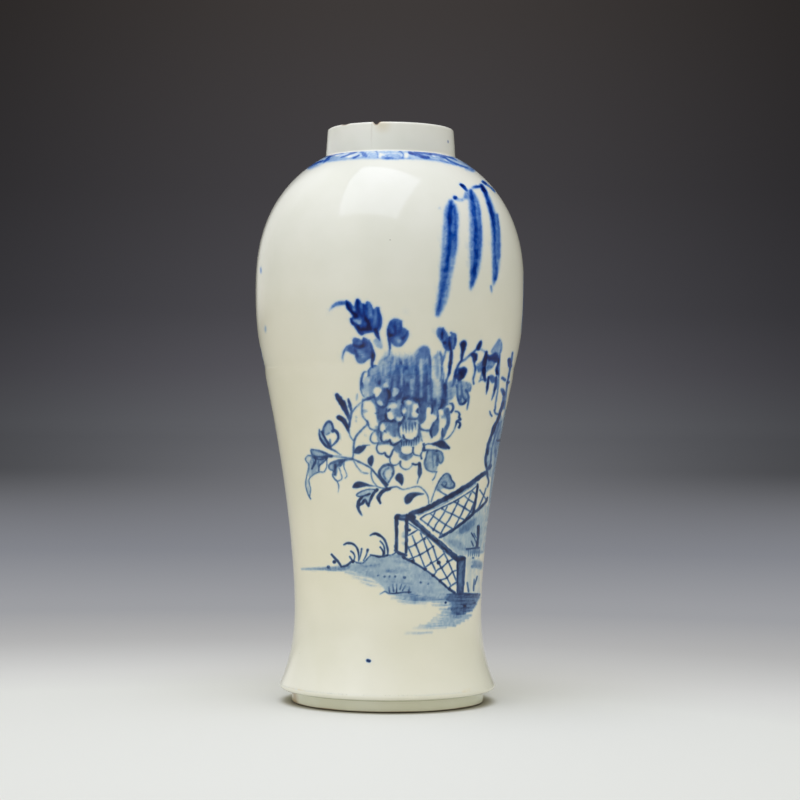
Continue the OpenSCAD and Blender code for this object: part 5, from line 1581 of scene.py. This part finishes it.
# the border goes on round the neck; the far side has a plainer spray over its own bank
for turn in (127.5, 232.5):
    place(turn, about=(0, 270), size=0.82)
    neck_border()
place(180, flip=True)
ground()
lower_left_leaves()
upper_leaves()
each(line,
    ([0.9, 0.7, 0.6], [1.8, 1.3, 1.2], 4, 72, 6, 82, 4.6, 94, -1, 106),
    ([0.6, 0.75, 0.6], [1.1, 1.3, 1], -10.7, 139.2, -9.6, 149, -9, 158, -8.8, 168),
    ([0.5, 0.7], [0.9, 1.1], -9.2, 156, -4, 163, -0.2, 171, 0, 176),
    ([0.6, 0.7, 0.5], [1.2, 1.2, 0.9], 4.6, 94, 12, 104, 16, 116, 15, 126))
blossom(15, 134, 9)
blossom(-16, 152, 6)
each(wash,
    (0.86, 16, 114, 20, 114.6, 24.6, 118.6, 23.6, 119.4, 19, 118),
    (0.86, 14.8, 109, 9.6, 110.4, 5.4, 115, 6.6, 115.6, 12, 113))
place(180, flip=True, to=(28, 238), about=(42, 232), size=0.9, load=0.9)
fronds()
place()

# a blue speck low down, specks and smears at the left edge, and rusty stains along the lip
line(1, 1.5, -10, 19.8, -9, 19.5)
for ink, width, *points in (
        (0.5, 0.8, -64.6, 215.6, -64.5, 213.4),
        (0.4, 0.8, -62.2, 186.2, -62, 184)):
    line(ink, width, *points, soft=0.9)
line(0.07, 0.9, 7.4, 195.8, 7.5, 193.4, soft=0.9)
for ink, width, *points in (
        (0.55, 1.7, -44.4, 4.2, -43, 3.8, -41.8, 3.6),
        (0.3, 1.6, -49.6, 5.2, -47, 4.6),
        (0.12, 1.4, 38, 4.2, 41, 5)):
    line(ink, width, *points, soft=1.6, hairs=0.2, layer=iron)
run_together(cobalt)
pool(cobalt)


def sweep(values, span, pick):
    """The highest or lowest value in a square window about each point of the canvas."""
    for axis in (0, 1):
        reach = 1
        while reach < span:
            step = min(reach, span - reach)
            values = pick(values, np.roll(values, -step, axis))
            reach += step
    return np.roll(values, (span // 2, span // 2), (0, 1))


def on_canvas(points):
    """The row and the column of the canvas at places on the wall, not rounded."""
    return np.interp(points[:, 2], row_z, np.arange(ROWS)), round_from_front(points) / (2 * math.pi) * COLS


def inked(layer, points):
    """The colour of a layer of the canvas at places on the wall."""
    row, col = on_canvas(points)
    low, left = np.minimum(row.astype(int), ROWS - 2), np.floor(col).astype(int)
    up, over = row - low, col - left
    left, right = left % COLS, (left + 1) % COLS
    return ((layer[low, left] * (1 - over) + layer[low, right] * over) * (1 - up)
            + (layer[low + 1, left] * (1 - over) + layer[low + 1, right] * over) * up)


def on_wall(points):
    """Which places lie on the painted outer wall."""
    r, z = np.hypot(points[:, 0], points[:, 1]), points[:, 2]
    return (z > skirt_z - 0.01) & (z < neck_z + 0.01) & (r > wall_r(z) - 0.3)


# The walls are divided finely only where the brush went, so that they can hold its edges. Faces are
# 2.6 mm wide at first, and the third division is kept to the side of the vase that the photo shows
total = np.maximum(cobalt, iron)
face_w = 2.6
shown = math.radians(74)
for level, least in enumerate((0.07, 0.16, 0.42)):
    span = int(face_w / 2 ** level / ROW) + 2
    change = sweep(total, span, np.maximum) - sweep(total, span, np.minimum)
    for piece in (lower_body, upper_body):
        centre, corners = middles(piece)
        row, col = [along.astype(int) for along in on_canvas(centre)]
        behind = np.abs(round_from_front(centre)) > shown
        split(piece, on_wall(centre) & (corners == 4) & (change[row, col % COLS] > least)
              & ~(behind & (level == 2)))
        points = places(piece)
        outer = on_wall(points)
        r = np.hypot(points[outer, 0], points[outer, 1])
        points[outer, :2] *= (wall_r(points[outer, 2]) / r)[:, None]
        put(piece, points)

for piece in (lower_body, upper_body, seam_slip, neck_slip):
    points = places(piece)
    outer = on_wall(points)
    for name, layer in (("cobalt", cobalt), ("iron", iron)):
        mark(piece, name, np.where(outer, inked(layer, points), 0))
    if piece in (lower_body, upper_body):
        slope = (wall_r(points[:, 2] + 0.05) - wall_r(points[:, 2] - 0.05)) / 0.1
        inward = (points[:, 2] > skirt_z + 0.06) & (points[:, 2] < neck_z - 0.06) & outer
        r = np.maximum(np.hypot(points[:, 0], points[:, 1]), 0.001)
        normal = np.column_stack((points[:, :2] / r[:, None], -slope)) / np.hypot(1, slope)[:, None]
        normal[~inward] = 0
        piece.data.shade_smooth()
        piece.data.normals_split_custom_set_from_vertices(normal.tolist())


def unroll(piece):
    """A flat layout for baking: the painted wall unrolled, and bands under it for the other faces."""
    mesh = piece.data
    corner, facing = np.empty(len(mesh.loops), np.int32), np.empty(len(mesh.polygons) * 3)
    mesh.loops.foreach_get("vertex_index", corner)
    mesh.polygons.foreach_get("normal", facing)
    centre, count = middles(piece)
    facing = facing.reshape(-1, 3)
    owner = np.repeat(np.arange(len(centre)), count)
    turn = round_from_front(centre)[owner]
    points = places(piece)[corner]
    r, z = np.hypot(points[:, 0], points[:, 1]), points[:, 2]
    off = np.where(r > 0.1, round_from_front(points) - turn, 0)
    across = 0.5 + (turn + (off + math.pi) % (2 * math.pi) - math.pi) / (2 * math.pi)
    outward = (facing[:, :2] * centre[:, :2]).sum(1) > 0
    level = np.abs(facing[:, 2]) > 0.7
    kind = np.select([on_wall(centre), level & (facing[:, 2] > 0), level, outward], [0, 4, 3, 2], 1)[owner]
    up = np.zeros(len(corner))
    for band, value, low, high in ((0, on_canvas(points)[0], 0.31, 1), (1, z, 0.13, 0.29),
                                   (2, z, 0.1, 0.12), (3, r, 0.06, 0.09), (4, r, 0, 0.05)):
        if (kind == band).any():
            mine = value[kind == band]
            up[kind == band] = low + (high - low) * (mine - mine.min()) / max(np.ptp(mine), 0.001)
    layer = mesh.uv_layers.new(name="OFBake", do_init=False)
    layer.data.foreach_set("uv", np.column_stack((across, up)).astype(np.float32).ravel())


for piece in (lower_body, upper_body):
    unroll(piece)


def ramp(tree, value, colours):
    """A ramp of colours, each given with its place from 0 to 1."""
    made = node(tree, "ValToRGB")
    elements = made.color_ramp.elements
    while len(elements) < len(colours):
        elements.new(0.5)
    for element, (at, colour) in zip(elements, colours.items()):
        element.position, element.color = at, colour if len(colour) == 4 else colour + (1.0,)
    return feed(tree, made, value)


def painted(name, colour, **values):
    """Glaze over cobalt painting: the ink tints the milky white, purer high up and greyer low down."""
    material, tree, shader, coat = glazed(name, colour, **values)
    ink = node(tree, "Attribute", attribute_name="cobalt").outputs["Fac"]
    pure = ramp(tree, ink, {0: (1, 1, 1), 0.22: (0.48, 0.66, 1.0), 0.5: (0.115, 0.275, 0.78),
                            0.78: (0.006, 0.08, 0.50), 0.9: (0.001, 0.032, 0.32), 1: (0.0, 0.003, 0.09)})
    grey = ramp(tree, ink, {0: (1, 1, 1), 0.22: (0.47, 0.64, 0.92), 0.5: (0.14, 0.28, 0.61),
                            0.78: (0.035, 0.088, 0.29), 0.9: (0.016, 0.045, 0.18),
                            1: (0.006, 0.014, 0.085)})
    height = apart(tree, here(tree))["Z"]
    tint = mixed(tree, "MIX", scaled(tree, height, 0.1, 0.21), grey, pure)
    # painted shade and painted light: the glaze is tinted warmer and darker low on the body, and the tint
    # eases near the foot as painted light bounced up from the table
    warm = sums(tree, "MINIMUM", scaled(tree, height, 0.12, 0.24, 1, 0),
                scaled(tree, height, 0.005, 0.075, 0.25, 1))
    tone = mixed(tree, "MULTIPLY", warm, coat.outputs["Colour"], (0.99, 0.952, 0.855, 1))
    tone = mixed(tree, "MULTIPLY", 1.0, tone, tint)
    stain = node(tree, "Attribute", attribute_name="iron").outputs["Fac"]
    tone = mixed(tree, "MIX", stain, tone, srgb(226, 192, 104))
    tree.links.new(tone, shader.inputs["Base Color"])
    return material


for name, pieces in (("body glaze", (lower_body, upper_body)), ("glaze over slip", (seam_slip, neck_slip))):
    milky = painted(name, srgb(239, 238, 227))
    for piece in pieces:
        piece.data.materials.append(milky)


# Floor, backdrop, light and camera: a pale table with painted shade that darkens it into the distance,
# to the sides and in a ring round the foot, and that glows far off as painted light; a backdrop with
# painted shade darker upwards and to the sides; one large soft box overhead, a little to the left, pale
# screens at the sides that only the glaze mirrors, and warm soft light from all round.
# painted shade: a group that darkens the far table and the backdrop towards the sides
painted_side_shade = bpy.data.node_groups.new("painted shade to the sides", "ShaderNodeTree")
socket(painted_side_shade, "Where", "Vector")
socket(painted_side_shade, "Light", "Float", "OUTPUT")
given = painted_side_shade.nodes.new("NodeGroupInput")
made = painted_side_shade.nodes.new("NodeGroupOutput")
far = feed(painted_side_shade, node(painted_side_shade, "VectorMath", operation="ABSOLUTE"), given.outputs[0])
far_x, far_y, far_z = apart(painted_side_shade, far)
slant = sums(painted_side_shade, "DIVIDE", sums(painted_side_shade, "MINIMUM", far_x, far_y),
             sums(painted_side_shade, "MAXIMUM", sums(painted_side_shade, "MAXIMUM", far_x, far_y), 0.0001))
feed(painted_side_shade, made, scaled(painted_side_shade, slant, 0.0, 0.27, 1.0, 0.4))


def in_sight(tree):
    """Whether the camera sees a point, by way of a mirror or of glass too."""
    path = node(tree, "LightPath").outputs
    return sums(tree, "MAXIMUM", path["Is Camera Ray"],
                sums(tree, "MAXIMUM", path["Is Glossy Ray"], path["Is Transmission Ray"]))


bpy.ops.object.select_all(action="DESELECT")
bpy.ops.mesh.primitive_circle_add(vertices=96, radius=60, fill_type="NGON")
table = bpy.context.object
table.name = table.data.name = "table"
paper = bpy.data.materials.new("pale table")
paper.use_nodes = True
tree = paper.node_tree
shader = tree.nodes["Principled BSDF"]
shader.inputs["Roughness"].default_value = 0.7
shader.inputs["Specular IOR Level"].default_value = 0.2
away = vector(tree, "LENGTH", feed(tree, node(tree, "Mapping", Location=(0.07, 0.25, 0)), here(tree)))
# painted shade: the table's colour darkens with distance from the vase, standing in for light that falls off
table_painted_shade = ramp(tree, sums(tree, "DIVIDE", away, sums(tree, "ADD", away, 1.0)), {
    0.0: srgb(232, 232, 226), 0.231: srgb(229, 229, 223), 0.275: srgb(219, 218, 214),
    0.355: srgb(187, 186, 185), 0.435: srgb(160, 161, 165), 0.603: srgb(133, 135, 142),
    0.785: srgb(116, 117, 122), 0.952: srgb(101, 102, 107)})
# painted shadow: the table's colour darkens in a ring round the foot
painted_contact_shadow = scaled(tree, vector(tree, "LENGTH", here(tree)), 0.047, 0.0565, 1, 0)
feed(tree, shader, mixed(tree, "MULTIPLY", painted_contact_shadow, table_painted_shade, (0.42, 0.39, 0.34, 1)))
# painted light: further out, the camera and the glaze see the table glow in its painted colour, darker to
# the sides, instead of lit
sides = feed(tree, node(tree, "Group", node_tree=painted_side_shade), here(tree))
painted_far_glow = feed(tree, node(tree, "Emission", Strength=1.0),
            mixed(tree, "MULTIPLY", scaled(tree, away, 0.8, 6.0), table_painted_shade, sides))
feed(tree, tree.nodes["Material Output"],
     feed(tree, node(tree, "MixShader"),
          sums(tree, "MULTIPLY", in_sight(tree), scaled(tree, away, 0.45, 0.9)),
          shader.outputs[0], painted_far_glow))
table.data.materials.append(paper)

world = bpy.data.worlds.new("studio")
bpy.context.scene.world = world
world.use_nodes = True
tree = world.node_tree
ways = node(tree, "TexCoord").outputs["Generated"]
look = apart(tree, ways)
overhead = scaled(tree, vector(tree, "DOT_PRODUCT", ways, (0.0, -0.23, 0.973)), 0.72, 1.0)
level = sums(tree, "MULTIPLY_ADD", sums(tree, "MULTIPLY", look["X"], look["X"]), 0.46, 0.49)
level = sums(tree, "MULTIPLY_ADD", look["Y"], -0.12, level)
level = sums(tree, "MULTIPLY_ADD", sums(tree, "MAXIMUM", look["X"], 0.0), -0.07, level)
fill = feed(tree, tree.nodes["Background"],
            mixed(tree, "MIX", overhead, (1.0, 0.985, 0.85, 1), (0.85, 0.875, 1.0, 1)),
            sums(tree, "MULTIPLY_ADD", overhead, 1.2, level))
# painted shade on the backdrop: darker upwards from the horizon, and darker to the sides by the group above
dark = ramp(tree, look["Z"], {
    0.0: srgb(100, 101, 106), 0.025: srgb(87, 86, 92), 0.052: srgb(75, 74, 79), 0.108: srgb(66, 64, 67),
    0.19: srgb(62, 58, 57), 1.0: srgb(56, 53, 52)})
backdrop_painted_shade = mixed(tree, "MULTIPLY", 1.0, dark, feed(tree, node(tree, "Group", node_tree=painted_side_shade), ways))
screens = ramp(tree, sums(tree, "MULTIPLY_ADD", look["X"], 0.5, 0.5), {
    at: (light, light, light)
    for at, light in ((0.0, 0.3), (0.08, 0.4), (0.17, 0.75), (0.28, 0.65), (0.35, 0.0), (1.0, 0.0))})
backdrop = feed(tree, node(tree, "Background", Strength=1.0),
                mixed(tree, "ADD", scaled(tree, look["Z"], -0.03, 0.07), backdrop_painted_shade, screens))
feed(tree, tree.nodes["World Output"], feed(tree, node(tree, "MixShader"), in_sight(tree), fill, backdrop))

bpy.ops.object.light_add(type="AREA", location=(-0.0865, -0.2585, 1.0525),
                         rotation=[math.radians(angle) for angle in (35.9, -4.9, -27.0)])
box = bpy.context.object
box.name = "softbox"
box.data.shape = "RECTANGLE"
box.data.size, box.data.size_y = 0.71, 0.88
box.data.energy = 3.9
box.data.color = (0.745, 0.795, 1.0)

bpy.ops.object.camera_add(location=(0, -1.07, 0.138))
camera = bpy.context.object
pan, tilt, roll = (Matrix.Rotation(math.radians(angle), 4, axis)
                   for angle, axis in ((-0.29, "Z"), (90.64, "X"), (0.33, "Z")))
camera.rotation_euler = (pan @ tilt @ roll).to_euler()
camera.data.sensor_width = 36
camera.data.lens = 96.3
bpy.context.scene.camera = camera
bpy.context.scene.view_settings.view_transform = "Standard"
